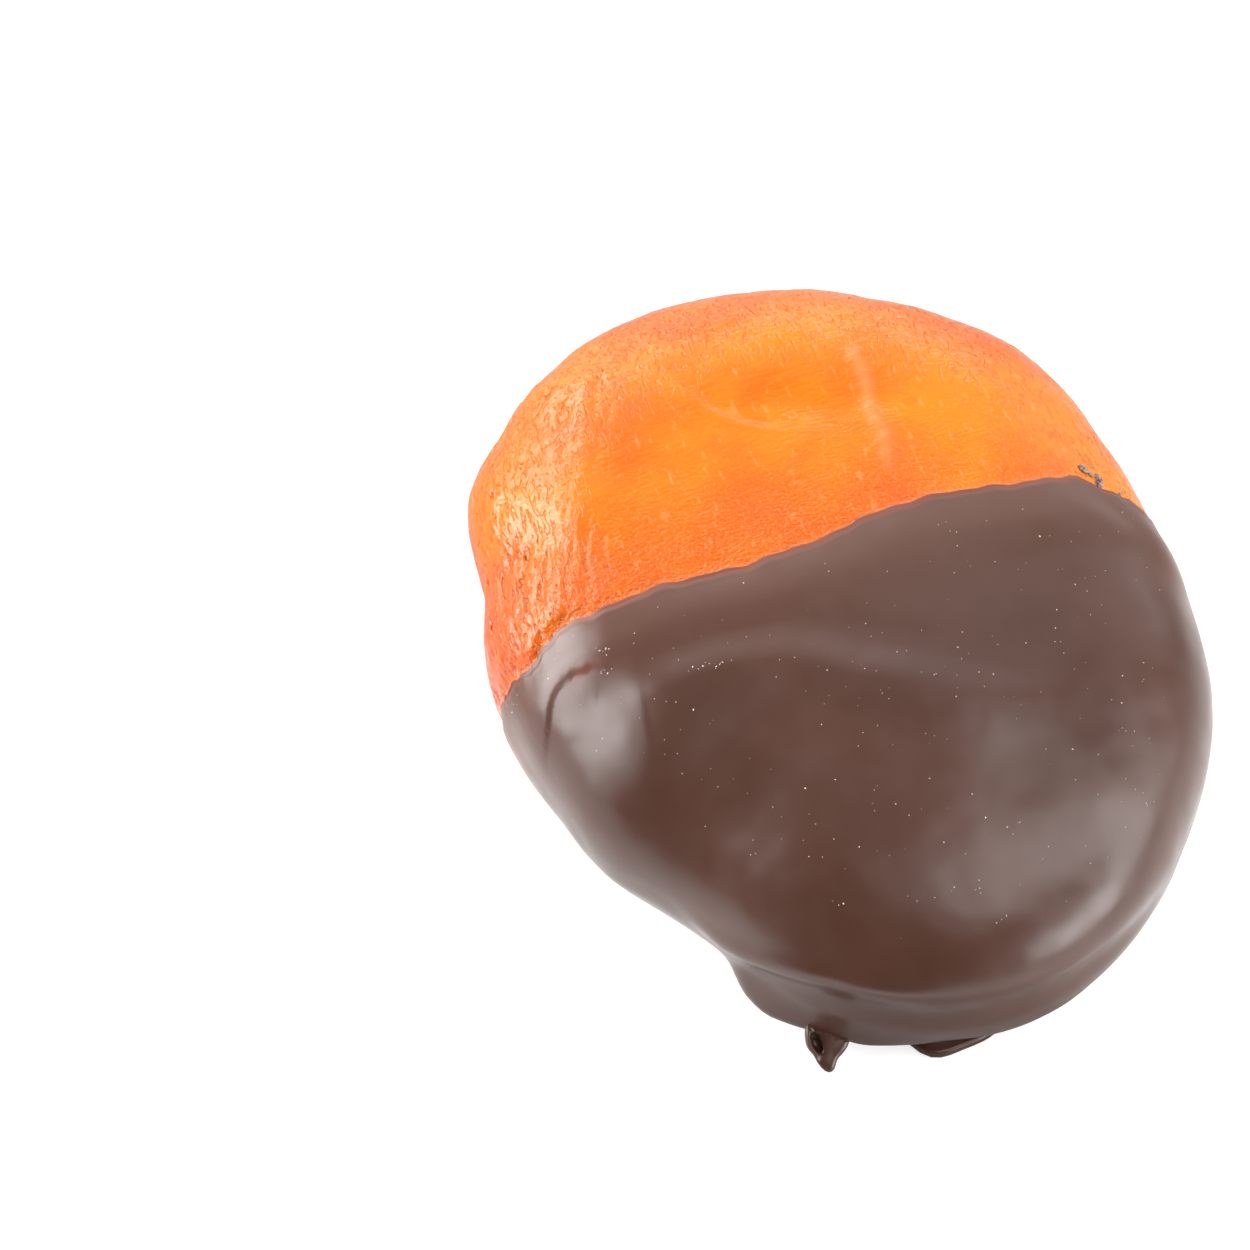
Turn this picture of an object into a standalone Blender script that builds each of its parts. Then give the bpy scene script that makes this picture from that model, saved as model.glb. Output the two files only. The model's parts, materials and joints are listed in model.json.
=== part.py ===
"""Chocolate dipped apricot: a whole dried apricot whose lower half sits in a dark chocolate coat.

The piece lies on its flat underside on z = 0. +Y runs from the chocolate end to the bare end,
+X to the right and +Z up. The origin is the middle of the footprint. Lengths are in millimetres
until the meshes are made, then in metres.
"""

import bpy
import numpy as np

MM = 0.001

# The body: a squashed round form around a core point that every surface point is measured from.
CORE = (-0.54, -1.56, 7.6)          # core point of the body
OUTLINE = (22.0, 22.8, 25.5, 26.8, 28.2, 28.4, 26.1, 22.4,
           20.8, 19.4, 19.6, 22.6, 25.0, 25.3, 23.9, 23.1)   # plan radius every 22.5 degrees from +X
RISE = 9.6                        # core to the top
FALL = 8.6                        # core to the bottom before the underside is flattened
TOP_FULLNESS = 2.45               # 2 is an ellipse, more is boxier
UNDER_FULLNESS = 3.0
DIRECTION_SHAPE = (22.5, 26.0, 8.5)   # half sizes of the ellipsoid the mesh columns are spread over

# The dip line: where the coat ends, as a height along Y from the core.
DIP_LINE = 4.3
DIP_TILT = 0.035                  # rise per mm towards +X
LIP_WAVE = 0.35                   # waviness of the coat's edge
UNDER_DIP_LINE = 3.0              # the same edge on the underside

# Wall of the coat.
LIP_WALL = 0.45
DEEP_WALL = 0.90
WALL_RUN = 7.0                    # distance over which the wall thickens
GAP = 0.30                        # between fruit and coat
SUNK = 1.20                       # how far the covered fruit lies under the body form
COAT_UNDERSIDE = 0.20             # flat underside of the shell, inside the foot
FRUIT_UNDERSIDE = 0.95

# Skirt: the coat runs out to the tray at the lower left, below a brim.
SKIRT_REACH = 2.3
SKIRT_FROM = -125.5               # degrees from +X
SKIRT_TO = -104.0
SKIRT_TOP = 5.4                   # heights above the tray
SKIRT_FULL = 1.0

# Foot: chocolate that ran down and set on the tray.
FOOT_HEIGHT = 0.75
FOOT_SHARE = 0.74                 # of the outline
FOOT_BACK = 2.4                   # the foot ends here along Y from the core
FOOT_LOBES = (                    # degrees from +X, reach beyond the share, width in degrees
    (-115.0, 4.3, 6.0),
    (-90.0, 5.5, 8.5),
)

# Drip: a small curled tongue with a deep pocket and a drawn out tip, on the skirt's edge.
DRIP_AT = (-8.35, -21.0, 1.55)    # middle of the pocket, from the core in plan, height above the tray
DRIP_POCKET = (0.30, 0.68)        # half sizes of the pocket
DRIP_SLANT = 24.0                 # of the pocket's long way, in degrees
DRIP_STRAND = 0.34                # width of the rim round the pocket
DRIP_TIP = 2.15                   # from the pocket's middle to the tip
DRIP_TIP_ANGLE = -66.0
DRIP_THICKNESS = 1.10
DRIP_TURN = -17.0                 # of the tongue's face about Z
DRIP_LEAN = 30.0                  # of the tongue's face, up from lying flat

# Mesh fineness.
COAT_COLUMNS = 80
COAT_RINGS = 30
LINER_RINGS = 15
FRUIT_COLUMNS = 72
FRUIT_COVERED_RINGS = 13
FRUIT_BARE_RINGS = 21
FOOT_COLUMNS = 90
DRIP_COLUMNS = 32

DARK_CHOCOLATE = (0.075, 0.034, 0.024, 1.0)
APRICOT_ORANGE = (0.90, 0.215, 0.018, 1.0)


def bump(distance, width):
    """Smooth hill of height 1 at distance 0."""
    return np.exp(-0.5 * (distance / width) ** 2)


def blend(value, low, high):
    """0 below low, 1 above high, smooth between."""
    t = np.clip((value - low) / (high - low), 0.0, 1.0)
    return t * t * (3.0 - 2.0 * t)


def round_curve(values, turn):
    """Smooth closed curve through evenly spaced values, at a turn of 0 to 1."""
    values = np.asarray(values, float)
    count = len(values)
    place = np.mod(turn, 1.0) * count
    index = np.floor(place).astype(int)
    t = place - index
    a, b, c, d = (values[(index + k) % count] for k in (-1, 0, 1, 2))
    slope = (c - a) * t
    bend = (2.0 * a - 5.0 * b + 4.0 * c - d) * t ** 2
    twist = (3.0 * b - a - 3.0 * c + d) * t ** 3
    return 0.5 * (2.0 * b + slope + bend + twist)


def plan_angle(x, y):
    """Angle around the core in degrees."""
    return np.degrees(np.arctan2(y, x))


def angle_gap(angle, centre):
    """Signed distance between angles, in degrees."""
    return np.mod(angle - centre + 180.0, 360.0) - 180.0


def outline(angle):
    """Plan radius of the body with the shoulder and the nick on its left side."""
    radius = round_curve(OUTLINE, angle / 360.0)
    radius = radius + 0.55 * bump(angle_gap(angle, 135.0), 4.5)
    radius = radius - 0.60 * bump(angle_gap(angle, 148.0), 4.0)
    radius = radius + 0.35 * bump(angle_gap(angle, 163.0), 6.0)
    return radius


def arc_ridge(x, y, centre, radius, start, end, width):
    """Ridge along an arc, fading at both ends; start and end in degrees."""
    away = np.hypot(x - centre[0], y - centre[1]) - radius
    angle = plan_angle(x - centre[0], y - centre[1])
    middle = 0.5 * (start + end)
    half = 0.5 * (end - start)
    along = np.abs(angle_gap(angle, middle))
    return bump(away, width) * (1.0 - blend(along, half - 8.0, half + 8.0))


def pit(x, y, centre, reach, turn=0.0):
    """Oval hollow of depth 1; reach is the half size along and across the turned axis."""
    c, s = np.cos(np.radians(turn)), np.sin(np.radians(turn))
    u = (x - centre[0]) * c + (y - centre[1]) * s
    v = (y - centre[1]) * c - (x - centre[0]) * s
    return np.exp(-0.5 * ((u / reach[0]) ** 2 + (v / reach[1]) ** 2))


def relief(x, y, z):
    """Height of the broad dents and folds above the plain body, on its upper side."""
    up = blend(z, -2.0, 3.0)
    angle = plan_angle(x, y)
    far = np.hypot(x, y) / outline(angle)

    # shallow bowl below the brow, and the round lobe at the left
    height = -0.35 * pit(x, y, (-5.5, -6.0), (7.0, 3.6), -20.0)
    height += 0.40 * pit(x, y, (-16.2, -3.4), (2.4, 2.4))

    # steep slope above the brim at the lower left
    height -= 0.25 * pit(x, y, (-11.5, -13.0), (6.0, 3.0), -48.0)

    # soft waves at the right
    height -= 0.40 * pit(x, y, (7.6, -13.4), (2.4, 3.4), 20.0)
    height += 0.30 * pit(x, y, (10.8, -16.0), (2.4, 3.4), 30.0)

    # pinched dent with a crease round it and a light crease beside it, on the fruit
    height -= 0.75 * pit(x, y, (1.6, 15.2), (3.6, 1.7), -16.0)
    height += 0.35 * arc_ridge(x, y, (2.2, 20.4), 7.0, 190.0, 262.0, 0.8)
    height -= 0.30 * pit(x, y, (7.6, 13.0), (1.4, 4.6), 8.0)
    height += 0.30 * pit(x, y, (5.7, 13.2), (0.8, 4.6), 10.0)

    # the left side of the fruit breaks into a steeper wall
    height += 0.55 * bump(angle_gap(angle, 140.0), 22.0) * bump(far - 0.70, 0.13)
    return height * up


def coat_relief(x, y, z):
    """Height of the folds that only the coat's outside shows."""
    up = blend(z, -2.0, 3.0)
    angle = plan_angle(x, y)

    # broad brow across the chocolate
    height = 0.40 * arc_ridge(x, y, (-8.5, -14.0), 13.9, 34.0, 112.0, 1.3)

    # hooked fold at the left and its hollow
    height -= 0.30 * arc_ridge(x, y, (-16.8, -1.9), 3.15, 45.0, 195.0, 0.42)
    height -= 0.25 * pit(x, y, (-15.6, -0.6), (1.1, 0.8))
    height *= up

    # brim at the lower left, where the top turns into the wall
    crest = 3.4 - 3.6 * blend(-angle, 112.0, 150.0)
    window = blend(angle, -150.0, -138.0) * (1.0 - blend(angle, -116.0, -100.0))
    height += 0.65 * window * bump(z - crest, 0.8)
    height -= 0.40 * window * bump(z - crest + 2.4, 1.1)
    return height


def body(direction):
    """Points of the body form and the outward normal there, for unit directions."""
    flat = np.hypot(direction[:, 0], direction[:, 1])
    rise = direction[:, 2]
    radius = outline(plan_angle(direction[:, 0], direction[:, 1]))
    upper = rise > 0.0
    power = np.where(upper, TOP_FULLNESS, UNDER_FULLNESS)
    reach = np.where(upper, RISE, FALL)
    length = ((flat / radius) ** power + (np.abs(rise) / reach) ** power) ** (-1.0 / power)
    point = direction * length[:, None]
    side = (flat * length / radius) ** (power - 1.0) / radius
    lift = np.sign(rise) * (np.abs(point[:, 2]) / reach) ** (power - 1.0) / reach
    spread = np.maximum(flat, 1e-9)
    normal = np.stack([side * direction[:, 0] / spread, side * direction[:, 1] / spread, lift], -1)
    normal /= np.linalg.norm(normal, axis=1)[:, None]
    return point, normal


def heading(polar, column):
    """Unit directions; polar runs from the chocolate end (0) to the bare end (pi)."""
    a, b, c = DIRECTION_SHAPE
    x = a * np.sin(polar) * np.sin(column)
    y = -b * np.cos(polar)
    z = c * np.sin(polar) * np.cos(column)
    direction = np.stack([x, y, z], -1)
    return direction / np.linalg.norm(direction, axis=-1)[..., None]


def lip_target(x, column):
    """Height along Y of the coat's edge."""
    over = blend(np.cos(column), -0.25, 0.25)
    level = DIP_LINE * over + UNDER_DIP_LINE * (1.0 - over) + DIP_TILT * x
    level = level - 1.6 * bump(x + 14.0, 60.0) * bump(np.sin(column) + 1.0, 0.04)
    level = level - 2.4 * bump(np.sin(column) - 1.0, 0.035)
    wave = np.sin(5.0 * column + 0.6) + 0.6 * np.sin(11.0 * column + 2.0)
    return level + LIP_WAVE * wave


def lip_polar(columns):
    """Polar angle of the coat's edge in each column, by halving."""
    low = np.full(len(columns), 0.25 * np.pi)
    high = np.full(len(columns), 0.85 * np.pi)
    for _ in range(40):
        middle = 0.5 * (low + high)
        point, _normal = body(heading(middle, columns))
        short = point[:, 1] < lip_target(point[:, 0], columns)
        low = np.where(short, middle, low)
        high = np.where(short, high, middle)
    return 0.5 * (low + high)


def surface(polar, column, lift, floor, detail=0.0):
    """World points of a surface that lies lift above the body form, flat below floor."""
    direction = heading(polar, column)
    point, normal = body(direction)
    height = relief(point[:, 0], point[:, 1], point[:, 2]) + lift
    height = height + detail * coat_relief(point[:, 0], point[:, 1], point[:, 2])
    point = point + normal * height[:, None] + np.array(CORE)
    point[:, 2] = np.maximum(point[:, 2], floor)
    return point


def skirt(point, height):
    """Outward shift of the coat's outside where it runs out to the tray."""
    x, y = point[:, 0] - CORE[0], point[:, 1] - CORE[1]
    angle = plan_angle(x, y)
    far = np.hypot(x, y)
    window = blend(angle, SKIRT_FROM - 4.0, SKIRT_FROM + 2.5)
    window = window * (1.0 - blend(angle, SKIRT_TO - 2.0, SKIRT_TO + 7.0))
    low = 1.0 - blend(height, SKIRT_FULL, SKIRT_TOP)
    out = SKIRT_REACH * window * low ** 1.5 * blend(far / outline(angle), 0.25, 0.75)
    return np.stack([out * x / (far + 1e-9), out * y / (far + 1e-9), np.zeros_like(out)], -1)


def covered_depth(polar, edge):
    """Distance below the coat's edge in mm, along the side of the body."""
    return (edge - polar) * 24.0


def sunk_fruit(depth):
    """How far the fruit lies under the body form."""
    return 0.3 * blend(depth, -0.8, 0.0) + (SUNK - 0.3) * blend(depth, 0.0, WALL_RUN)


def coat_wall(depth):
    """Thickness of the coat."""
    return LIP_WALL + (DEEP_WALL - LIP_WALL) * blend(depth, 0.0, WALL_RUN)


def make_object(name, points, faces, collection):
    """Mesh object from points in mm."""
    mesh = bpy.data.meshes.new(name)
    mesh.from_pydata([tuple(p) for p in np.asarray(points) * MM], [], faces)
    mesh.validate()
    mesh.update()
    part = bpy.data.objects.new(name, mesh)
    collection.objects.link(part)
    return part


def band_faces(rings, columns):
    """Quads between neighbouring rings of a tube, ring 0 first."""
    faces = []
    for ring in range(rings - 1):
        for column in range(columns):
            after = (column + 1) % columns
            low, high = ring * columns, (ring + 1) * columns
            faces.append((low + column, low + after, high + after, high + column))
    return faces


def fruit_mesh(collection):
    """The whole apricot, a little smaller where the coat covers it."""
    columns = np.linspace(0.0, 2.0 * np.pi, FRUIT_COLUMNS, endpoint=False)
    edge = lip_polar(columns)
    covered = np.linspace(0.0, 1.0, FRUIT_COVERED_RINGS + 1)[1:]
    bare = np.linspace(0.0, 1.0, FRUIT_BARE_RINGS + 1)[1:-1]
    rings = [share * edge for share in covered]
    rings += [edge + share * (np.pi - edge) for share in bare]
    first = [np.zeros(1)]
    last = [np.full(1, np.pi)]
    points = []
    for polar, column, limit in (
        [(first[0], np.zeros(1), edge[:1])]
        + [(ring, columns, edge) for ring in rings]
        + [(last[0], np.zeros(1), edge[:1])]
    ):
        depth = covered_depth(polar, limit)
        floor = FRUIT_UNDERSIDE + (DEEP_WALL - LIP_WALL) * blend(depth, 0.0, WALL_RUN)
        points.append(surface(polar, column, -sunk_fruit(depth), floor))
    points = np.vstack(points)
    count = len(rings)
    faces = [tuple(i + 1 for i in face) for face in band_faces(count, FRUIT_COLUMNS)]
    top = 1 + (count - 1) * FRUIT_COLUMNS
    for column in range(FRUIT_COLUMNS):
        after = (column + 1) % FRUIT_COLUMNS
        faces.append((0, 1 + after, 1 + column))
        faces.append((len(points) - 1, top + column, top + after))
    return make_object("apricot", points, faces, collection)


def coat_mesh(name, collection):
    """The chocolate shell: outside, rounded lip, then the inside against the fruit."""
    columns = np.linspace(0.0, 2.0 * np.pi, COAT_COLUMNS, endpoint=False)
    edge = lip_polar(columns)
    outside = np.linspace(0.0, 1.0, COAT_RINGS + 1)[1:]
    inside = np.linspace(1.0, 0.0, LINER_RINGS + 1)[:-1]
    points = [surface(np.zeros(1), np.zeros(1), np.full(1, DEEP_WALL + GAP - SUNK), COAT_UNDERSIDE)]
    for share in outside:
        polar = share * edge
        depth = covered_depth(polar, edge)
        lift = GAP - sunk_fruit(depth) + coat_wall(depth)
        rounding = 0.14 * blend(share, 0.985, 1.0)
        ring = surface(polar, columns, lift - rounding, COAT_UNDERSIDE, detail=1.0)
        points.append(ring + skirt(ring, ring[:, 2]))
    middle_floor = COAT_UNDERSIDE + 0.5 * LIP_WALL
    points.append(surface(edge + 0.010, columns, np.full(COAT_COLUMNS, 0.5 * LIP_WALL), middle_floor))
    for share in inside:
        polar = share * edge
        depth = covered_depth(polar, edge)
        lift = GAP - sunk_fruit(depth)
        floor = COAT_UNDERSIDE + coat_wall(depth)
        points.append(surface(polar, columns, lift, floor))
    deep_floor = COAT_UNDERSIDE + DEEP_WALL
    points.append(surface(np.zeros(1), np.zeros(1), np.full(1, GAP - SUNK), deep_floor))
    points = np.vstack(points)
    count = COAT_RINGS + 1 + LINER_RINGS
    faces = [tuple(i + 1 for i in face) for face in band_faces(count, COAT_COLUMNS)]
    last_ring = 1 + (count - 1) * COAT_COLUMNS
    for column in range(COAT_COLUMNS):
        after = (column + 1) % COAT_COLUMNS
        faces.append((0, 1 + after, 1 + column))
        faces.append((len(points) - 1, last_ring + column, last_ring + after))
    return make_object(name, points, faces, collection)


def foot_radius(angle):
    """Plan radius of the foot, with two lobes at the front and a nearly straight back."""
    radius = FOOT_SHARE * outline(angle)
    for centre, reach, width in FOOT_LOBES:
        radius = radius + reach * bump(angle_gap(angle, centre), width)
    back = FOOT_BACK / np.maximum(np.sin(np.radians(angle)), 0.02)
    return (radius ** -6.0 + back ** -6.0) ** (-1.0 / 6.0)


def foot_mesh(name, collection):
    """Low pad with a rounded rim; its underside is the flat face the piece rests on."""
    angles = np.linspace(0.0, 360.0, FOOT_COLUMNS, endpoint=False)
    radius = foot_radius(angles)
    profile = ((0.0, 0.35), (0.22, 0.08), (0.48, 0.10), (FOOT_HEIGHT, 0.60))
    points = []
    for height, inset in profile:
        x = (radius - inset) * np.cos(np.radians(angles))
        y = (radius - inset) * np.sin(np.radians(angles))
        points.append(np.stack([x + CORE[0], y + CORE[1], np.full_like(x, height)], -1))
    points = np.vstack(points)
    faces = band_faces(len(profile), FOOT_COLUMNS)
    faces.append(tuple(reversed(range(FOOT_COLUMNS))))
    faces.append(tuple(range((len(profile) - 1) * FOOT_COLUMNS, len(profile) * FOOT_COLUMNS)))
    return make_object(name, points, faces, collection)


def drip_edge(angle, pocket):
    """Distance from the pocket's middle to the tongue's outer edge, angles in degrees."""
    reach = pocket + DRIP_STRAND
    reach = reach + (DRIP_TIP - 0.8) * bump(angle_gap(angle, DRIP_TIP_ANGLE), 15.0)
    reach = reach + 0.75 * bump(angle_gap(angle, -20.0), 30.0)
    return reach + 1.10 * bump(angle_gap(angle, 45.0), 40.0)


def drip_mesh(name, collection):
    """Tongue of chocolate: closed rings from the back, over the edge, into the pocket."""
    angles = np.linspace(0.0, 360.0, DRIP_COLUMNS, endpoint=False)
    wide, long = DRIP_POCKET
    slanted = np.radians(angles - 90.0 - DRIP_SLANT)
    pocket = 1.0 / np.hypot(np.cos(slanted) / long, np.sin(slanted) / wide)
    edge = drip_edge(angles, pocket)
    thick = DRIP_THICKNESS * (1.0 - 0.55 * blend(edge, 1.2, DRIP_TIP))
    rings = (                     # outer edge share, pocket share, height share of the thickness
        (0.80, 0.0, -0.46),
        (0.98, 0.0, -0.25),
        (0.98, 0.0, 0.20),
        (0.62, 0.38, 0.46),
        (0.15, 0.95, 0.50),
        (0.0, 0.95, 0.38),
        (0.0, 0.75, -0.20),
    )
    points = [np.array([[0.0, 0.0, -0.5 * DRIP_THICKNESS]])]
    for outer, inner, rise in rings:
        reach = outer * edge + inner * pocket
        x = reach * np.cos(np.radians(angles))
        y = reach * np.sin(np.radians(angles))
        points.append(np.stack([x, y, rise * thick], -1))
    points.append(np.array([[0.0, 0.0, -0.25 * DRIP_THICKNESS]]))
    points = np.vstack(points)
    lean, yaw = np.radians(DRIP_LEAN), np.radians(DRIP_TURN)
    y = points[:, 1] * np.cos(lean) - points[:, 2] * np.sin(lean)
    z = points[:, 1] * np.sin(lean) + points[:, 2] * np.cos(lean)
    x = points[:, 0] * np.cos(yaw) - y * np.sin(yaw)
    y = points[:, 0] * np.sin(yaw) + y * np.cos(yaw)
    place = np.array(DRIP_AT) + np.array((CORE[0], CORE[1], 0.0))
    points = np.stack([x, y, z], -1) + place
    faces = [tuple(i + 1 for i in face) for face in band_faces(len(rings), DRIP_COLUMNS)]
    last_ring = 1 + (len(rings) - 1) * DRIP_COLUMNS
    for column in range(DRIP_COLUMNS):
        after = (column + 1) % DRIP_COLUMNS
        faces.append((0, 1 + after, 1 + column))
        faces.append((len(points) - 1, last_ring + column, last_ring + after))
    return make_object(name, points, faces, collection)


def apply_modifiers(part):
    """Replace the mesh by its modified form."""
    graph = bpy.context.evaluated_depsgraph_get()
    mesh = bpy.data.meshes.new_from_object(part.evaluated_get(graph))
    part.modifiers.clear()
    old = part.data
    part.data = mesh
    bpy.data.meshes.remove(old)


def clean(part):
    """Triangles only, no double points, faces outward."""
    weld = part.modifiers.new("weld", "WELD")
    weld.merge_threshold = 0.00001
    split = part.modifiers.new("triangles", "TRIANGULATE")
    split.min_vertices = 4
    apply_modifiers(part)


def finish_material(name, colour, roughness):
    """Plain principled material."""
    material = bpy.data.materials.new(name)
    material.use_nodes = True
    shader = material.node_tree.nodes["Principled BSDF"]
    shader.inputs["Base Color"].default_value = colour
    shader.inputs["Roughness"].default_value = roughness
    shader.inputs["Metallic"].default_value = 0.0
    material.diffuse_color = colour
    return material


def build():
    """Make both parts."""
    for old in list(bpy.data.objects):
        bpy.data.objects.remove(old, do_unlink=True)
    parts = bpy.data.collections.new("chocolate_dipped_apricot")
    extras = bpy.data.collections.new("fused_chocolate")
    bpy.context.scene.collection.children.link(parts)
    bpy.context.scene.collection.children.link(extras)

    fruit = fruit_mesh(parts)
    clean(fruit)
    fruit.data.materials.append(finish_material("apricot_flesh", APRICOT_ORANGE, 0.35))

    coat = coat_mesh("chocolate_coat", parts)
    foot_mesh("foot", extras)
    drip_mesh("drip", extras)
    fuse = coat.modifiers.new("fuse", "BOOLEAN")
    fuse.operation = "UNION"
    fuse.operand_type = "COLLECTION"
    fuse.collection = extras
    fuse.solver = "MANIFOLD"
    apply_modifiers(coat)
    clean(coat)
    coat.data.materials.clear()
    coat.data.materials.append(finish_material("dark_chocolate", DARK_CHOCOLATE, 0.42))
    for piece in list(extras.objects):
        bpy.data.objects.remove(piece, do_unlink=True)
    bpy.data.collections.remove(extras)


build()
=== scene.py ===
import json
import logging
import math
from collections.abc import Callable
from dataclasses import dataclass, field
from enum import Enum

import bmesh
import bpy
import numpy as np
from mathutils import Matrix, Vector, kdtree

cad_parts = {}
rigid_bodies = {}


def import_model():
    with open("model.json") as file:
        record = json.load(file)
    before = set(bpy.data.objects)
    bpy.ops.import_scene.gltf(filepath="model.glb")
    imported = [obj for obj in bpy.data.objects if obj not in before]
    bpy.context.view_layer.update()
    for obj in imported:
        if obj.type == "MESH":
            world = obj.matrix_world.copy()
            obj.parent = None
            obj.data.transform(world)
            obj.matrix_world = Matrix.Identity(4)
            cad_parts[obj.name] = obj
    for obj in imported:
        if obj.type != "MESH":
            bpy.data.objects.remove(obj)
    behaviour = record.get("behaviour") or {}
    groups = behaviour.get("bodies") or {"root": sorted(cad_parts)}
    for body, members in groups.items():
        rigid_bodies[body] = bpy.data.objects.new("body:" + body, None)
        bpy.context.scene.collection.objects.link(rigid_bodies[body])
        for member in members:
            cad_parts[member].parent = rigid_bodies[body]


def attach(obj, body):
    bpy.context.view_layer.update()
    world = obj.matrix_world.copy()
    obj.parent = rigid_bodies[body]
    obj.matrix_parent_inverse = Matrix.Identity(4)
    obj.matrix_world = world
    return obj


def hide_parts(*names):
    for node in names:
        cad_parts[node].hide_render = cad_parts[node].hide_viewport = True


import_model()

log = logging.getLogger("dipped_apricot")
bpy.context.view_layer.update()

MM = 0.001
Points = np.ndarray
Values = np.ndarray
Faces = list[tuple[int, ...]]
Spot = tuple[float, float]
Place = tuple[float, float, float]
Colour = tuple[float, float, float, float]
Span = tuple[float, float, float, float]
Socket = bpy.types.NodeSocket
Input = Socket | float | tuple[float, ...]
EVEN = (1.0, 1.0, 1.0)

# constants of the hash behind the noise
LATTICE_PRIMES = (73856093, 19349663, 83492791)
SEED_PRIME = 2654435761
HASH_FACTOR = 1664525
HASH_STEP = 1013904223
HASH_SHIFT = 15
WORD = 0xFFFFFFFF


class LampKind(Enum):
    """The soft lamps of the studio."""

    LEFT = "left_panel"
    BACK = "back_panel"
    RIGHT = "right_panel"
    RIGHT_LOW = "right_low_panel"
    HIGH = "high_panel"
    HORIZON = "horizon_panel"
    TOP = "top_panel"
    BACK_RIGHT = "back_right_panel"
    BROW = "brow_panel"
    EDGE = "edge_panel"


def bump(distance: Values, width: float | Values) -> Values:
    """Smooth hill of height 1 at distance 0."""
    return np.exp(-0.5 * (distance / width) ** 2)


def blend(value: Values, low: float | Values, high: float | Values) -> Values:
    """0 below low, 1 above high, smooth between."""
    t = np.clip((value - low) / (high - low), 0.0, 1.0)
    return t * t * (3.0 - 2.0 * t)


def window(value: Values, low: float, full: float, still: float, gone: float) -> Values:
    """0 below low, 1 from full to still, 0 above gone, smooth between."""
    return blend(value, low, full) * (1.0 - blend(value, still, gone))


def plan_angle(x: Values, y: Values) -> Values:
    """Angle around the core in degrees."""
    return np.degrees(np.arctan2(y, x))


def angle_gap(angle: Values, centre: float | Values) -> Values:
    """Signed distance between angles, in degrees."""
    return np.mod(angle - centre + 180.0, 360.0) - 180.0


def closed_curve(values: tuple[float, ...], turn: Values) -> Values:
    """Smooth closed curve through evenly spaced values.

    Args:
        values: the values to pass through, evenly spaced round the turn.
        turn: where to read the curve, 0 to 1 for a whole turn.

    Returns:
        The curve's value at each turn.
    """
    knots = np.asarray(values, float)
    count = len(knots)
    place = np.mod(turn, 1.0) * count
    index = np.floor(place).astype(int)
    t = place - index
    a, b, c, d = (knots[(index + k) % count] for k in (-1, 0, 1, 2))
    slope = (c - a) * t
    bend = (2.0 * a - 5.0 * b + 4.0 * c - d) * t ** 2
    twist = (3.0 * b - a - 3.0 * c + d) * t ** 3
    return 0.5 * (2.0 * b + slope + bend + twist)


def placed(name: str, data: bpy.types.ID) -> bpy.types.Object:
    """New object of some data, in the scene."""
    made = bpy.data.objects.new(name, data)
    bpy.context.scene.collection.objects.link(made)
    return made


@dataclass(frozen=True)
class Patch:
    """Oval rise or dent, seen from above; its turn is from +X to its long axis."""

    height: float
    centre: Spot
    reach: Spot
    turn: float = 0.0

    def at(self, x: Values, y: Values) -> Values:
        """Height of the patch.

        Args:
            x: positions along X from the core.
            y: positions along Y from the core.

        Returns:
            The height at each position.
        """
        c, s = math.cos(math.radians(self.turn)), math.sin(math.radians(self.turn))
        along = (x - self.centre[0]) * c + (y - self.centre[1]) * s
        across = (y - self.centre[1]) * c - (x - self.centre[0]) * s
        return self.height * np.exp(-0.5 * ((along / self.reach[0]) ** 2 + (across / self.reach[1]) ** 2))


@dataclass(frozen=True)
class Arc:
    """Part of a circle in plan that a fold follows."""

    centre: Spot
    radius: float
    start: float
    end: float
    fade: float = 8.0

    def away(self, x: Values, y: Values) -> Values:
        """Distance outward from the arc's circle."""
        return np.hypot(x - self.centre[0], y - self.centre[1]) - self.radius

    def along(self, x: Values, y: Values) -> Values:
        """Weight 1 beside the arc, fading past its ends.

        Args:
            x: positions along X from the core.
            y: positions along Y from the core.

        Returns:
            The weight at each position.
        """
        angle = plan_angle(x - self.centre[0], y - self.centre[1])
        middle = 0.5 * (self.start + self.end)
        half = 0.5 * (self.end - self.start)
        gap = np.abs(angle_gap(angle, middle))
        return 1.0 - blend(gap, half - self.fade, half + self.fade)


@dataclass(frozen=True)
class Trace:
    """Bent line in plan that a sharp fold follows."""

    points: tuple[Spot, ...]
    fades: Spot = (1.5, 1.5)

    def measure(self, x: Values, y: Values) -> tuple[Values, Values]:
        """Place beside the line.

        Args:
            x: positions along X from the core.
            y: positions along Y from the core.

        Returns:
            The distance from the line, positive on its right hand, and a weight that fades past its ends.
        """
        nearest = np.full(len(x), 1e9)
        side, run = np.zeros(len(x)), np.zeros(len(x))
        travelled = 0.0
        for (x0, y0), (x1, y1) in zip(self.points, self.points[1:]):
            long = math.hypot(x1 - x0, y1 - y0)
            ux, uy = (x1 - x0) / long, (y1 - y0) / long
            t = (x - x0) * ux + (y - y0) * uy
            held = np.clip(t, 0.0, long)
            away = np.hypot(x - x0 - held * ux, y - y0 - held * uy)
            closer = away < nearest
            across = (x - x0) * uy - (y - y0) * ux
            side = np.where(closer, np.where(across < 0.0, -away, away), side)
            run = np.where(closer, travelled + held, run)
            nearest = np.minimum(nearest, away)
            travelled += long
        return side, window(run, 0.0, self.fades[0], travelled - self.fades[1], travelled)


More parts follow.
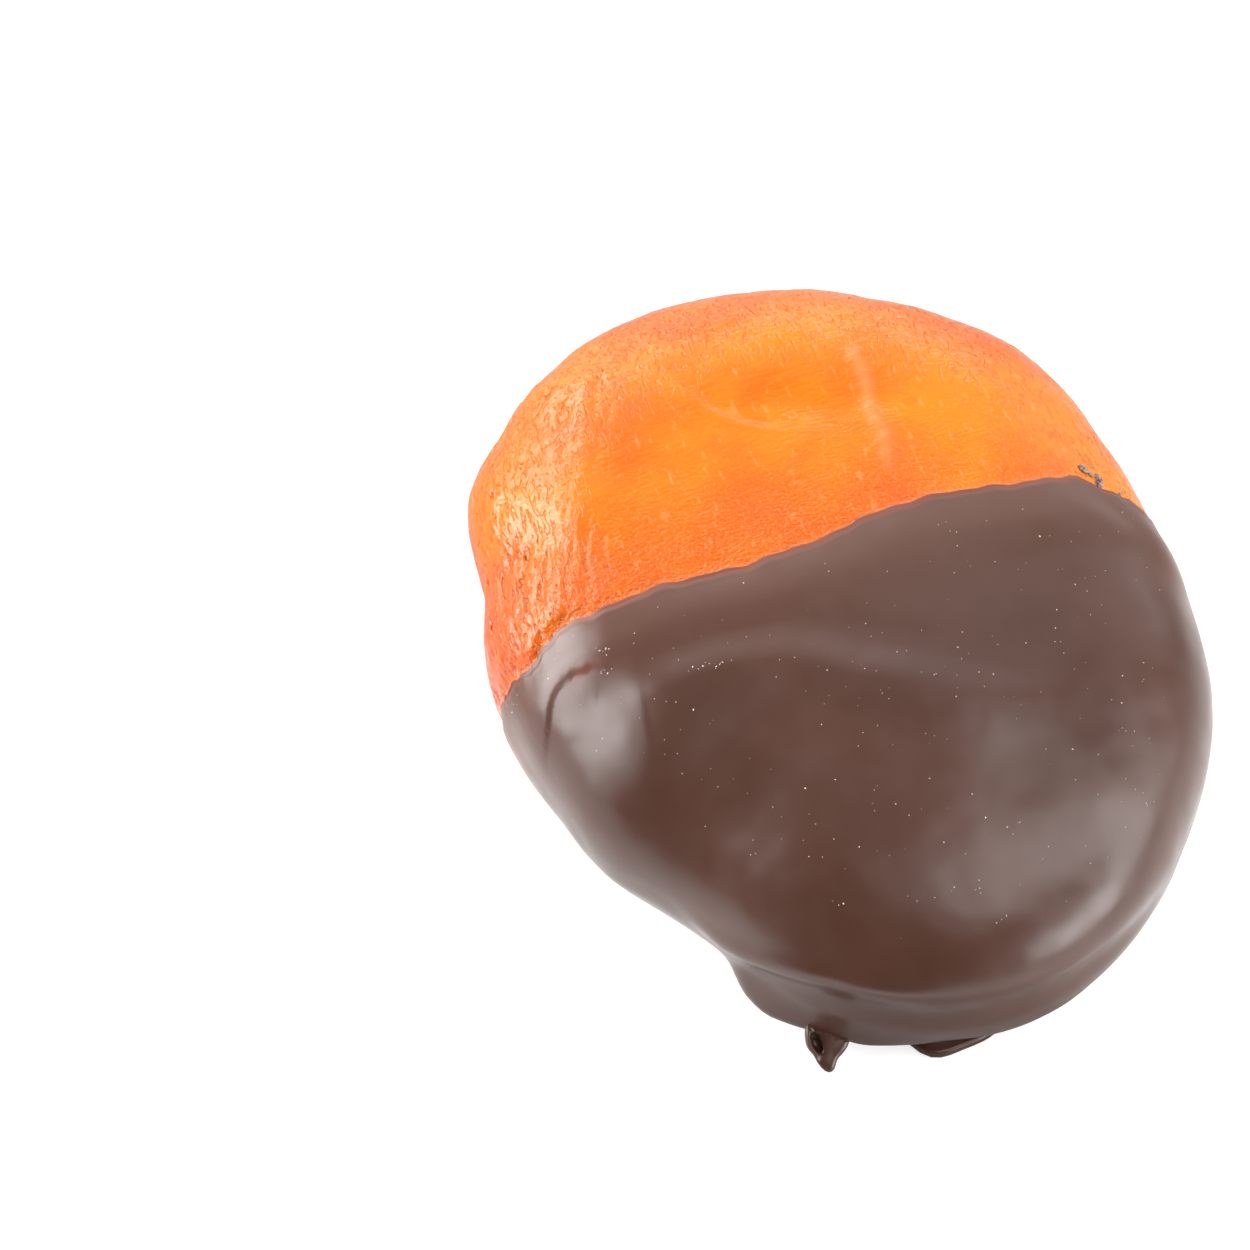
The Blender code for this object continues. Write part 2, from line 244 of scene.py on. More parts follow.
@dataclass(frozen=True)
class Grain:
    """Seeded gradient noise on a lattice, the same on every run."""

    seed: int
    gain: float = 1.6
    layer_shift: float = 17.3

    def _corner(self, cell: Points, offset: Points) -> Values:
        """Slope noise from one lattice corner.

        Args:
            cell: whole-number lattice corner of each point.
            offset: position of the point from that corner.

        Returns:
            The corner's gradient times the offset.
        """
        mixed = np.bitwise_xor.reduce(cell.astype(np.int64) * LATTICE_PRIMES, axis=1)
        mixed = (mixed ^ (self.seed * SEED_PRIME)) & WORD
        total = np.zeros(len(offset))
        for axis in range(3):
            mixed = (mixed * HASH_FACTOR + HASH_STEP) & WORD
            mixed = mixed ^ (mixed >> HASH_SHIFT)
            total += (mixed / 2.0 ** 31 - 1.0) * offset[:, axis]
        return total

    def at(self, points: Points) -> Values:
        """Noise between about -1 and 1.

        Args:
            points: positions in lattice cells, one row each.

        Returns:
            The noise at each point.
        """
        base = np.floor(points)
        part = points - base
        ease = part * part * part * (part * (part * 6.0 - 15.0) + 10.0)
        total = np.zeros(len(points))
        for corner in range(8):
            step = np.array([corner & 1, corner >> 1 & 1, corner >> 2 & 1], float)
            weight = np.prod(np.where(step > 0.5, ease, 1.0 - ease), axis=1)
            total += weight * self._corner(base + step, part - step)
        return self.gain * total

    def layers(self, points: Points, count: int) -> Values:
        """Several octaves of noise, each half as high and twice as fine."""
        total = np.zeros(len(points))
        for layer in range(count):
            total += self.at(points * 2.0 ** layer + self.layer_shift * layer) / 2.0 ** layer
        return total


@dataclass(frozen=True)
class BodyForm:
    """The apricot's plain squashed form, measured from a core point, in millimetres."""

    core: Place = (-0.54, -1.56, 7.6)
    radii: tuple[float, ...] = (
        22.0, 22.8, 25.5, 26.8, 28.2, 28.4, 26.1, 22.4,
        20.66, 19.4, 19.6, 22.6, 25.0, 25.3, 23.9, 23.1,
    )
    rise: float = 9.6
    fall: float = 8.6
    top_fullness: float = 2.45
    under_fullness: float = 3.0
    spread: Place = (22.5, 26.0, 8.5)
    shrink: float = 0.9985
    slack_under: Span = (-150.0, 18.0, 38.0, 2.65)
    slack_top: Span = (-122.0, 22.0, 66.0, 2.18)
    nicks: tuple[Place, ...] = ((0.55, 135.0, 4.5), (-0.60, 148.0, 4.0), (0.35, 163.0, 6.0))
    dents: tuple[Patch, ...] = (
        Patch(-0.35, (-5.5, -6.0), (7.0, 3.6), -20.0), Patch(0.34, (-16.2, -3.4), (3.0, 3.0)),
        Patch(-0.40, (7.6, -13.4), (2.4, 3.4), 20.0), Patch(0.30, (10.8, -16.0), (2.4, 3.4), 30.0),
        Patch(-0.75, (1.6, 15.2), (3.6, 1.7), -16.0), Patch(-0.30, (7.6, 13.0), (1.4, 4.6), 8.0),
    )
    back_roll: float = 0.55
    shoulder: Patch = Patch(0.70, (-16.0, -6.8), (4.5, 2.9), 31.0)
    girdle: float = 14.0

    def outline(self, angle: Values) -> Values:
        """Plan radius of the body, with the shoulder and the nick on its left side."""
        radius = closed_curve(self.radii, angle / 360.0)
        return radius + sum(height * bump(angle_gap(angle, at), width) for height, at, width in self.nicks)

    @staticmethod
    def slacken(angle: Values, fullness: float, slack: Span) -> Values:
        """Fullness round the body, lower where the side is slack.

        Args:
            angle: plan angles.
            fullness: fullness everywhere else.
            slack: middle angle, half width, half width where it ends, and fullness there.

        Returns:
            The fullness at each angle.
        """
        middle, half, end, there = slack
        return fullness + (there - fullness) * (1.0 - blend(np.abs(angle_gap(angle, middle)), half, end))

    def heading(self, polar: Values, column: Values) -> Points:
        """Unit directions from the core.

        Args:
            polar: angle from the chocolate end (0) to the bare end (pi).
            column: angle round the length, 0 on top and a quarter turn at +X.

        Returns:
            One direction for each pair of angles.
        """
        a, b, c = self.spread
        x = a * np.sin(polar) * np.sin(column)
        y = -b * np.cos(polar)
        z = c * np.sin(polar) * np.cos(column)
        direction = np.stack([x, y, z], -1)
        return direction / np.linalg.norm(direction, axis=-1)[..., None]

    def plain(self, polar: Values, column: Values) -> Points:
        """Points of the plain form, from the core, for pairs of angles."""
        return self.skin(self.heading(polar, column))[0]

    def skin(self, direction: Points) -> tuple[Points, Points]:
        """Points of the plain form and the outward normal there.

        Args:
            direction: unit directions from the core.

        Returns:
            Points measured from the core, and unit normals.
        """
        flat = np.hypot(direction[:, 0], direction[:, 1])
        rise = direction[:, 2]
        angle = plan_angle(direction[:, 0], direction[:, 1])
        radius = self.outline(angle)
        top = self.slacken(angle, self.top_fullness, self.slack_top)
        under = self.slacken(angle, self.under_fullness, self.slack_under)
        power = np.where(rise > 0.0, top, under)
        reach = np.where(rise > 0.0, self.rise, self.fall)
        length = ((flat / radius) ** power + (np.abs(rise) / reach) ** power) ** (-1.0 / power)
        point = direction * length[:, None]
        side = (flat * length / radius) ** (power - 1.0) / radius
        lift = np.sign(rise) * (np.abs(point[:, 2]) / reach) ** (power - 1.0) / reach
        span = np.maximum(flat, 1e-9)
        normal = np.stack([side * direction[:, 0] / span, side * direction[:, 1] / span, lift], -1)
        return point, normal / np.linalg.norm(normal, axis=1)[:, None]

    def above_girdle(self, point: Points) -> Values:
        """Distance in mm along the skin up from the body's widest line."""
        far = np.hypot(point[:, 0], point[:, 1]) / self.outline(plan_angle(point[:, 0], point[:, 1]))
        return np.arctan2(point[:, 2] / self.rise, far) * self.girdle

    def relief(self, point: Points) -> Values:
        """Height of the broad dents and folds above the plain form.

        Args:
            point: points of the plain form, from the core.

        Returns:
            The height at each point.
        """
        x, y, z = point[:, 0], point[:, 1], point[:, 2]
        angle = plan_angle(x, y)
        far = np.hypot(x, y) / self.outline(angle)
        height = sum(dent.at(x, y) for dent in self.dents)
        height += self.back_roll * bump(angle_gap(angle, 140.0), 22.0) * bump(far - 0.70, 0.13)
        return height * blend(z, -2.0, 3.0) + self.shoulder.at(x, y) * blend(z, -6.0, -1.0)


@dataclass(frozen=True)
class DipLine:
    """The wavy edge where the coat ends."""

    widths: tuple[float, ...] = (
        -22.5, -21.2, -19.4, -17.2, -11.3, -5.3, 0.2, 2.4, 6.5,
        11.7, 15.1, 17.1, 18.2, 20.0, 21.0, 21.5, 22.6,
    )
    levels: tuple[float, ...] = (
        3.4, 3.6, 3.4, 4.2, 4.5, 4.2, 4.3, 5.1, 5.5, 5.5, 5.6, 5.5, 4.7, 4.0, 3.1, 1.4, 0.6,
    )
    under_level: float = 3.0
    waves: tuple[Place, ...] = ((0.10, 7.0, 0.6), (0.07, 17.0, 2.0), (0.06, 43.0, 1.1), (0.05, 71.0, 0.4))
    wall_at_lip: float = 0.24
    wall_deep: float = 0.90
    run: float = 7.0
    sunk: float = 0.96
    gap: float = 0.06
    bead: float = 0.26
    bead_depth: float = 2.1
    bead_width: float = 1.1
    mm_per_radian: float = 24.0
    halvings: int = 36

    def target(self, x: Values, column: Values) -> Values:
        """Height along Y of the coat's edge.

        Args:
            x: position along X from the core.
            column: angle round the length.

        Returns:
            The edge's height along Y from the core.
        """
        over = blend(np.cos(column), -0.45, 0.05)
        level = np.interp(x, self.widths, self.levels) * over + self.under_level * (1.0 - over)
        return level + sum(height * np.sin(count * column + start) for height, count, start in self.waves)

    def polar(self, form: BodyForm, columns: Values) -> Values:
        """Polar angle of the coat's edge in each column, by halving.

        Args:
            form: the body's plain form.
            columns: angles round the length.

        Returns:
            The polar angle of the edge in each column.
        """
        low = np.full(len(columns), 0.25 * np.pi)
        high = np.full(len(columns), 0.85 * np.pi)
        for _ in range(self.halvings):
            middle = 0.5 * (low + high)
            point = form.plain(middle, columns)
            short = point[:, 1] < self.target(point[:, 0], columns)
            low = np.where(short, middle, low)
            high = np.where(short, high, middle)
        return 0.5 * (low + high)

    def depth(self, polar: Values, edge: Values) -> Values:
        """Distance below the edge in mm, along the side of the body."""
        return (edge - polar) * self.mm_per_radian

    def fruit_sink(self, depth: Values) -> Values:
        """How far the fruit lies under the plain form."""
        return self.gap * blend(depth, -0.4, 0.0) + (self.sunk - self.gap) * blend(depth, 0.0, self.run)

    def swell(self, depth: Values) -> Values:
        """Extra fullness of the coat's outside just below its edge."""
        at_edge = bump(self.bead_depth, self.bead_width)
        return self.bead * (bump(depth - self.bead_depth, self.bead_width) - at_edge)

    def wall(self, depth: Values) -> Values:
        """Thickness of the coat."""
        return self.wall_at_lip + (self.wall_deep - self.wall_at_lip) * blend(depth, 0.0, self.run)

    def outside(self, depth: Values, soft_depth: Values, rise: Values) -> Values:
        """Height of the coat's plain outside above the plain form.

        Args:
            depth: distance below the edge.
            soft_depth: distance below the edge without its fine waves.
            rise: height above the core.

        Returns:
            The height at each point.
        """
        full = self.swell(soft_depth) * blend(depth, 0.0, 0.8) * blend(rise, 0.5, 4.0)
        return self.gap - self.fruit_sink(soft_depth) + self.wall(soft_depth) + full


class Bench:
    """Turns arrays of points into Blender meshes."""

    @staticmethod
    def bands(rings: int, columns: int, start: int = 0) -> Points:
        """Quads between neighbouring rings of a tube.

        Args:
            rings: how many rings there are.
            columns: points in each ring.
            start: index of the first ring's first point.

        Returns:
            An array of quads, four indices a row.
        """
        ring, column = np.meshgrid(np.arange(rings - 1), np.arange(columns), indexing="ij")
        after = (column + 1) % columns
        low, high = ring * columns + start, (ring + 1) * columns + start
        return np.stack([low + column, low + after, high + after, high + column], -1).reshape(-1, 4)

    @staticmethod
    def ring(angles: Values, reach: Values, height: Values | float) -> Points:
        """Points round the core, at a reach and a height for each plan angle."""
        turn = np.radians(angles)
        return np.stack([reach * np.cos(turn), reach * np.sin(turn), np.broadcast_to(height, turn.shape)], -1)

    @staticmethod
    def closed_rings(count: int, columns: int) -> Faces:
        """Faces of a closed form made of a pole, rings and a pole.

        Args:
            count: rings between the poles.
            columns: points in each ring.

        Returns:
            Quads between the rings and triangles at the poles.
        """
        faces = [tuple(face) for face in Bench.bands(count, columns, 1).tolist()]
        last = 1 + (count - 1) * columns
        tip = last + columns
        for column in range(columns):
            after = (column + 1) % columns
            faces.append((0, 1 + after, 1 + column))
            faces.append((tip, last + column, last + after))
        return faces

    @staticmethod
    def make(name: str, points: Points, faces: Faces) -> bpy.types.Object:
        """Smooth mesh object.

        Args:
            name: name of the piece.
            points: points in millimetres, in the row's frame.
            faces: tuples of point indices.

        Returns:
            The new object, linked to the scene.
        """
        mesh = bpy.data.meshes.new(name)
        mesh.from_pydata((np.asarray(points) * MM).tolist(), [], faces)
        mesh.update()
        mesh.shade_smooth()
        return placed(name, mesh)

    @staticmethod
    def bake_modifiers(piece: bpy.types.Object) -> None:
        """Replace the piece's mesh by its modified form."""
        graph = bpy.context.evaluated_depsgraph_get()
        mesh = bpy.data.meshes.new_from_object(piece.evaluated_get(graph))
        piece.modifiers.clear()
        old = piece.data
        piece.data = mesh
        bpy.data.meshes.remove(old)

    @staticmethod
    def coordinates(piece: bpy.types.Object) -> Points:
        """The piece's points in millimetres."""
        flat = np.zeros(len(piece.data.vertices) * 3, np.float32)
        piece.data.vertices.foreach_get("co", flat)
        return flat.reshape(-1, 3).astype(float) / MM

    @staticmethod
    def weight(piece: bpy.types.Object, name: str, values: Values) -> None:
        """Store one number for each point, for the materials to read."""
        layer = piece.data.attributes.new(name, "FLOAT", "POINT")
        layer.data.foreach_set("value", np.asarray(values, np.float32))


@dataclass(frozen=True)
class NodePaint:
    """Wires up the nodes of a procedural material or world."""

    tree: bpy.types.NodeTree

    @classmethod
    def material(cls, name: str) -> tuple[bpy.types.Material, "NodePaint"]:
        """New material, and the paint for its nodes.

        Args:
            name: the material's name.

        Returns:
            The material and its paint.
        """
        material = bpy.data.materials.new(name)
        material.use_nodes = True
        return material, cls(material.node_tree)

    def feed(self, socket: Socket, value: Input) -> None:
        """Link a socket to an input, or set the input's value.

        Args:
            socket: the input.
            value: socket to link, or value to set.
        """
        if isinstance(value, Socket):
            self.tree.links.new(value, socket)
        else:
            socket.default_value = value

    def node(self, kind: str, inputs: dict[str | int, Input], **settings: str) -> bpy.types.NodeOutputs:
        """New node.

        Args:
            kind: the node's type, without its first word.
            inputs: what to feed to each input.
            settings: the node's settings.

        Returns:
            The node's outputs.
        """
        node = self.tree.nodes.new("ShaderNode" + kind)
        for name, value in settings.items():
            setattr(node, name, value)
        for name, value in inputs.items():
            self.feed(node.inputs[name], value)
        return node.outputs

    def shade(self, inputs: dict[str, Input]) -> None:
        """Feed the inputs of the Principled shader."""
        for name, value in inputs.items():
            self.feed(self.tree.nodes["Principled BSDF"].inputs[name], value)

    def noise(self, size_mm: float, detail: float, stretch: Place = EVEN, turn: float = 0.0) -> Socket:
        """Noise in the object's own space.

        Args:
            size_mm: size of the noise's features.
            detail: octaves of finer noise.
            stretch: scale along each axis.
            turn: degrees that the axes are turned about Z.

        Returns:
            The noise, 0 to 1.
        """
        place = self.node("TexCoord", {})["Object"]
        axes = {"Vector": place, "Scale": stretch, "Rotation": (0.0, 0.0, math.radians(turn))}
        mapped = self.node("Mapping", axes)["Vector"]
        inputs = {"Vector": mapped, "Scale": 1.0 / (size_mm * MM), "Detail": detail}
        return self.node("TexNoise", inputs)["Fac"]

    def ranged(self, source: Socket, low: float, high: float, to_low: float, to_high: float) -> Socket:
        """Number mapped from the range low to high to the range to_low to to_high, clamped."""
        ends = {"From Min": low, "From Max": high, "To Min": to_low, "To Max": to_high}
        return self.node("MapRange", {"Value": source, **ends})["Result"]

    def mix(self, share: Socket, first: Input, second: Input) -> Socket:
        """Colour that is the first where the share is 0 and the second where it is 1."""
        return self.node("Mix", {"Factor": share, "A": first, "B": second}, data_type="RGBA")["Result"]

    def maths(self, operation: str, first: Input, second: Input) -> Socket:
        """Result of a sum on two numbers."""
        return self.node("Math", {0: first, 1: second}, operation=operation)["Value"]

    def stored(self, name: str) -> Socket:
        """Number that the mesh stores for each point."""
        return self.node("Attribute", {}, attribute_name=name)["Fac"]

    def bumps(self, distance_mm: float, *heights: tuple[Socket, float]) -> None:
        """Chain of bumps into the shader's normal.

        Args:
            distance_mm: height of a full bump.
            heights: height sockets with their strengths, coarse first.
        """
        last: dict[str, Input] = {}
        for height, strength in heights:
            inputs = {"Strength": strength, "Distance": distance_mm * MM, "Height": height}
            last = {"Normal": self.node("Bump", inputs | last)["Normal"]}
        self.shade(last)


@dataclass(frozen=True)
class FleshFinish:
    """Moist candied apricot: glossy, slightly see-through, yellow-orange to red-orange, with painted glints
    and painted highlight lines.
    """

    golden: Colour = (0.62, 0.172, 0.001, 1.0)
    amber: Colour = (0.62, 0.105, 0.001, 1.0)
    blush: Colour = (0.52, 0.063, 0.006, 1.0)
    painted_highlight: Colour = (0.78, 0.24, 0.09, 1.0)
    painted_glint: Colour = (0.80, 0.30, 0.09, 1.0)
    roughness: float = 0.14
    glow: float = 0.25
    glow_radius: Place = (1.0, 0.35, 0.10)
    glow_reach_mm: float = 0.8
    grain_turn: float = 17.0
    bump_mm: float = 0.22

    def material(self) -> bpy.types.Material:
        """The finished material.

        Returns:
            The material.
        """
        material, paint = NodePaint.material("candied_apricot")
        near, side = paint.stored("near"), paint.stored("side")
        cloud = paint.ranged(paint.noise(7.0, 3.0), 0.38, 0.66, 0.0, 1.0)
        mottle = paint.noise(1.4, 4.0)
        spots = paint.ranged(mottle, 0.56, 0.72, 0.0, 0.35)
        glint_strokes = paint.noise(0.42, 3.0, (1.0, 0.35, 1.0), self.grain_turn)
        glint_specks = paint.ranged(paint.noise(0.17, 2.0), 0.50, 0.68, 0.0, 0.30)
        colour = self.golden
        for share, coat in (
            (cloud, self.amber),
            (paint.stored("blush"), self.blush),
            (spots, self.amber),
            # pale strokes and fine specks are painted glints: highlights painted on where wrinkles would
            # catch the lamps
            (paint.ranged(glint_strokes, 0.60, 0.72, 0.0, 0.32), self.painted_glint),
            (paint.maths("MULTIPLY", glint_specks, near), self.painted_glint),
            # painted highlight: a pale line along the coat's edge and along the ridge beside the dent
            (paint.stored("painted_highlight"), self.painted_highlight),
        ):
            colour = paint.mix(share, colour, coat)
        paint.shade({
            "Base Color": colour,
            "Roughness": paint.ranged(mottle, 0.3, 0.7, self.roughness - 0.04, self.roughness + 0.08),
            "Specular IOR Level": paint.ranged(side, 0.0, 0.6, 0.22, 0.5),
            "IOR": 1.45,
            "Subsurface Weight": self.glow,
            "Subsurface Radius": self.glow_radius,
            "Subsurface Scale": self.glow_reach_mm * MM,
        })
        flecks = paint.noise(0.30, 2.0, (1.0, 0.30, 1.0), self.grain_turn)
        pits = paint.ranged(flecks, 0.36, 0.46, 0.0, 1.0)
        grains = paint.noise(0.20, 2.0, (0.7, 1.0, 1.0), self.grain_turn)
        paint.bumps(
            self.bump_mm,
            (paint.noise(1.1, 3.0), 0.12),
            (paint.maths("MULTIPLY", pits, side), 0.75),
            (paint.maths("MULTIPLY", grains, near), 0.8),
            (paint.noise(0.30, 2.0, (0.55, 1.0, 1.0)), 0.40),
        )
        return material


@dataclass(frozen=True)
class ChocolateFinish:
    """Set dark chocolate: smooth satin with a faint bloom, made lighter towards the lip by painted light."""

    dark: Colour = (0.052, 0.0205, 0.0125, 1.0)
    warm: Colour = (0.066, 0.027, 0.018, 1.0)
    painted_lip_light: Colour = (0.100, 0.042, 0.028, 1.0)
    thin: Colour = (0.30, 0.060, 0.030, 1.0)
    roughness: float = 0.305
    bump_mm: float = 0.10

    def material(self) -> bpy.types.Material:
        """The finished material.

        Returns:
            The material.
        """
        material, paint = NodePaint.material("set_dark_chocolate")
        colour = paint.mix(paint.ranged(paint.noise(9.0, 3.0), 0.35, 0.68, 0.0, 1.0), self.dark, self.warm)
        # painted light: the chocolate is lighter in a band along its lip, standing in for light that falls
        # there
        colour = paint.mix(paint.stored("painted_lip_light"), colour, self.painted_lip_light)
        haze = paint.ranged(paint.noise(2.2, 4.0), 0.3, 0.7, self.roughness - 0.03, self.roughness + 0.05)
        paint.shade({
            "Base Color": paint.mix(paint.stored("thin"), colour, self.thin), "Roughness": haze, "IOR": 1.48,
        })
        paint.bumps(self.bump_mm, (paint.noise(3.5, 2.0), 0.12), (paint.noise(0.22, 2.0), 0.035))
        return material


@dataclass(frozen=True)
class CrumbFinish:
    """Dry crumb or dust of one colour range."""

    name: str
    dark: Colour
    light: Colour
    roughness: float = 0.6
    bump_mm: float = 0.03

    def material(self) -> bpy.types.Material:
        """The finished material.

        Returns:
            The material.
        """
        material, paint = NodePaint.material(self.name)
        share = paint.ranged(paint.noise(0.25, 3.0), 0.4, 0.6, 0.0, 1.0)
        paint.shade({"Base Color": paint.mix(share, self.dark, self.light), "Roughness": self.roughness})
        paint.bumps(self.bump_mm, (paint.noise(0.06, 2.0), 0.4))
        return material


@dataclass
class DippedBody:
    """Shared measurements of the fruit and its coat."""

    form: BodyForm = field(default_factory=BodyForm)
    dip: DipLine = field(default_factory=DipLine)
    shell_floor: float = 0.20
    fruit_floor: float = 0.95
    crowded_at: float = 0.80

    def spaced_columns(self, count: int, crowding: float) -> tuple[Values, Values]:
        """Column angles, closer together on the left shoulder, and where the coat ends in each.

        Args:
            count: how many columns.
            crowding: 0 spaces them evenly, towards 1 crowds them on the shoulder.

        Returns:
            The column angles, and the polar angle of the coat's edge in each column.
        """
        even = np.linspace(0.0, 2.0 * np.pi, count, endpoint=False)
        columns = even - crowding * np.sin(even + self.crowded_at)
        return columns, self.dip.polar(self.form, columns)

    def on_tray(self, place: Place) -> Values:
        """World point of a place in plan from the core, at a height above the tray."""
        return np.array(place) + np.array((*self.form.core[:2], 0.0))

    def surface(self, polar: Values, column: Values, lift: Values | float, floor: Values | float) -> Points:
        """World points of a surface above the plain form, flat below a floor.

        Args:
            polar: polar angle of each point.
            column: column angle of each point.
            lift: height above the plain form with its broad relief.
            floor: lowest height above the tray.

        Returns:
            The world points.
        """
        plain, normal = self.form.skin(self.form.heading(polar, column))
        height = self.form.relief(plain) + lift
        point = (plain + normal * height[:, None]) * self.form.shrink + np.array(self.form.core)
        point[:, 2] = np.maximum(point[:, 2], floor)
        return point

    def on_skin(self, plan: Spot, lift: float,
                folds: Callable[[Points], Values] | None = None) -> tuple[Vector, Vector]:
        """Point on the upper skin above a plan position.

        Args:
            plan: position from the core.
            lift: height above the skin.
            folds: height of the folds that lie on the skin there.

        Returns:
            The world point in millimetres and the outward direction.
        """
        angle = plan_angle(np.array([plan[0]]), np.array([plan[1]]))
        share, full = np.hypot(*plan) / self.form.outline(angle)[0], self.form.top_fullness
        rise = self.form.rise * max(0.0, 1.0 - share ** full) ** (1.0 / full)
        direction = np.array([[plan[0], plan[1], rise]])
        direction /= np.linalg.norm(direction)
        plain, normal = self.form.skin(direction)
        height = self.form.relief(plain)[0] + lift + (folds(plain)[0] if folds else 0.0)
        point = (plain[0] + normal[0] * height) * self.form.shrink + np.array(self.form.core)
        return Vector(point), Vector(normal[0])


@dataclass
class CandiedApricot:
    """The whole apricot with its wrinkled skin; the lower part is under the coat."""

    body: DippedBody
    columns: int = 430
    crowding: float = 0.42
    covered_rings: int = 14
    bare_rings: int = 200
    finish: FleshFinish = field(default_factory=FleshFinish)
    crease: Arc = Arc((2.2, 20.4), 7.0, 194.0, 248.0, 14.0)
    shoulder: Trace = Trace((
        (-8.6, 23.5), (-10.8, 20.2), (-12.2, 15.4), (-13.5, 11.1), (-15.6, 7.9), (-17.6, 5.0), (-19.5, 3.2),
    ), (3.0, 1.0))
    shoulder_rise: float = 0.42
    furrow: Spot = (0.06, 0.13)
    furrow_turn: Spot = (0.956, 0.292)
    wall_span: Spot = (8.0, 14.5)
    streak_cut: float = 0.10
    swelling: float = 0.10
    pinch_rise: float = 0.17
    pinch_cut: float = 0.20
    crease_ridge_rise: float = 0.32
    crease_ridge_span: Span = (7.5, 9.5, 17.5, 19.5)

    def wrinkles(self, plain: Points) -> Values:
        """Height of the skin's furrows, pinches and pores.

        Args:
            plain: points of the plain form, from the core.

        Returns:
            The height at each point.
        """
        x, y, z = plain[:, 0], plain[:, 1], plain[:, 2]
        up_mm = self.body.form.above_girdle(plain)
        wall = 1.0 - blend(up_mm, *self.wall_span)
        left = blend(-x, 2.0, 12.0)
        sway = 0.5 * Grain(5).at(plain / 2.6)
        c, s = self.furrow_turn
        across, away = c * x - s * y, s * x + c * y

        def drawn(seed: int, wide: float, long: float, tall: float, shift: Values | float = 0.0) -> Values:
            """Noise whose cells are drawn out along the furrows."""
            return Grain(seed).at(np.stack([across / wide + shift, away / long, z / tall], -1))

        chain = blend(drawn(9, 1.6, 4.0, 1.6), -0.25, 0.45)
        fleck, thread = drawn(1, 0.75, 2.0, 0.75, sway), drawn(2, 0.50, 1.3, 0.50, sway)
        streak = drawn(11, 0.60, 3.2, 2.4)
        swell = Grain(4).layers(plain / 4.2, 2)
        dimple = Grain(3).at(plain / 1.1)
        furrow = (self.furrow[0] + self.furrow[1] * left) * wall
        height = -furrow * blend(-fleck, 0.10, 0.50) * (0.25 + 0.75 * chain)
        height += 0.016 * wall * thread
        streaked = blend(-x, 9.0, 14.0) * (1.0 - blend(y, 9.0, 15.0))
        height -= self.streak_cut * blend(streak, 0.0, 0.5) * streaked
        beside, along = self.shoulder.measure(x, y)
        height += self.shoulder_rise * np.exp(-np.sqrt(beside ** 2 + 0.06) / 2.4) * along
        height += 0.020 * dimple - 0.06 * blend(-dimple, 0.45, 0.8) * (1.0 - 0.7 * wall)
        height += self.swelling * swell - 0.02 * left

        # pinched crease round the dent, and the raised ridge beside it
        pinch = self.crease.along(x, y) * (0.8 + 0.4 * Grain(6).at(plain / 1.1))
        away_mm = self.crease.away(x, y)
        height += self.pinch_rise * bump(away_mm - 0.45, 0.40) * pinch
        height -= self.pinch_cut * bump(away_mm + 0.30, 0.30) * pinch
        uneven = 0.7 + 0.6 * Grain(7).at(plain / 0.9)
        height += self.crease_ridge_rise * self.crease_ridge(x, y, 0.34) * uneven
        return height * blend(z, -7.0, -4.5)

    def crease_ridge(self, x: Values, y: Values, width: float) -> Values:
        """Share of the ridge beside the dent, of one width in mm; its paleness is a painted highlight."""
        line = x - 5.9 - 0.10 * (y - 13.0) - 0.14 * np.sin(1.3 * y)
        return bump(line, width) * window(y, *self.crease_ridge_span)

    def build(self) -> bpy.types.Object:
        """Make the fruit.

        Returns:
            The fruit piece.
        """
        body, dip = self.body, self.body.dip
        columns, edge = body.spaced_columns(self.columns, self.crowding)
        covered = np.linspace(0.0, 1.0, self.covered_rings + 1)[1:]
        bare = np.linspace(0.0, 1.0, self.bare_rings + 1)[1:-1] ** 1.05
        polar = [share * edge for share in covered] + [edge + share * (np.pi - edge) for share in bare]
        rings = len(polar)
        polar = np.concatenate([[0.0], np.concatenate(polar), [np.pi]])
        around = np.concatenate([[0.0], np.tile(columns, rings), [0.0]])
        limit = np.concatenate([edge[:1], np.tile(edge, rings), edge[:1]])
        depth = dip.depth(polar, limit)
        floor = body.fruit_floor + (dip.wall_deep - dip.wall_at_lip) * blend(depth, 0.0, dip.run)
        plain = body.form.plain(polar, around)
        height = self.wrinkles(plain) * (1.0 - blend(depth, -0.9, -0.1)) - dip.fruit_sink(depth)
        points = body.surface(polar, around, height, floor)
        piece = Bench.make("apricot_fruit", points, Bench.closed_rings(rings, self.columns))
        up_mm = body.form.above_girdle(plain)
        patch = 0.5 + 0.5 * Grain(8).layers(plain / 5.0, 2)
        near = blend(plain[:, 1], 15.0, 5.0)
        wall = 1.0 - blend(up_mm, 4.0, 11.0)
        ripe = 0.75 * near * (0.6 + 0.5 * patch) * (1.0 - 0.9 * blend(plain[:, 0], 3.0, 13.0))
        Bench.weight(piece, "blush", np.clip(ripe + 0.35 * wall * blend(-plain[:, 0], -12.0, 2.0), 0.0, 1.0))
        # painted highlight: a pale line just above the coat's edge, where wet skin shines, and along the
        # ridge beside the dent
        pale = 0.55 * bump(depth + 0.16, 0.10) + 0.45 * self.crease_ridge(plain[:, 0], plain[:, 1], 0.30)
        Bench.weight(piece, "painted_highlight", pale)
        side = 1.0 - blend(up_mm, 8.0, 14.0)
        Bench.weight(piece, "side", side)
        Bench.weight(piece, "near", near * (1.0 - 0.7 * side))
        piece.data.materials.append(self.finish.material())
        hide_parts("apricot")
        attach(piece, "root")
        return piece


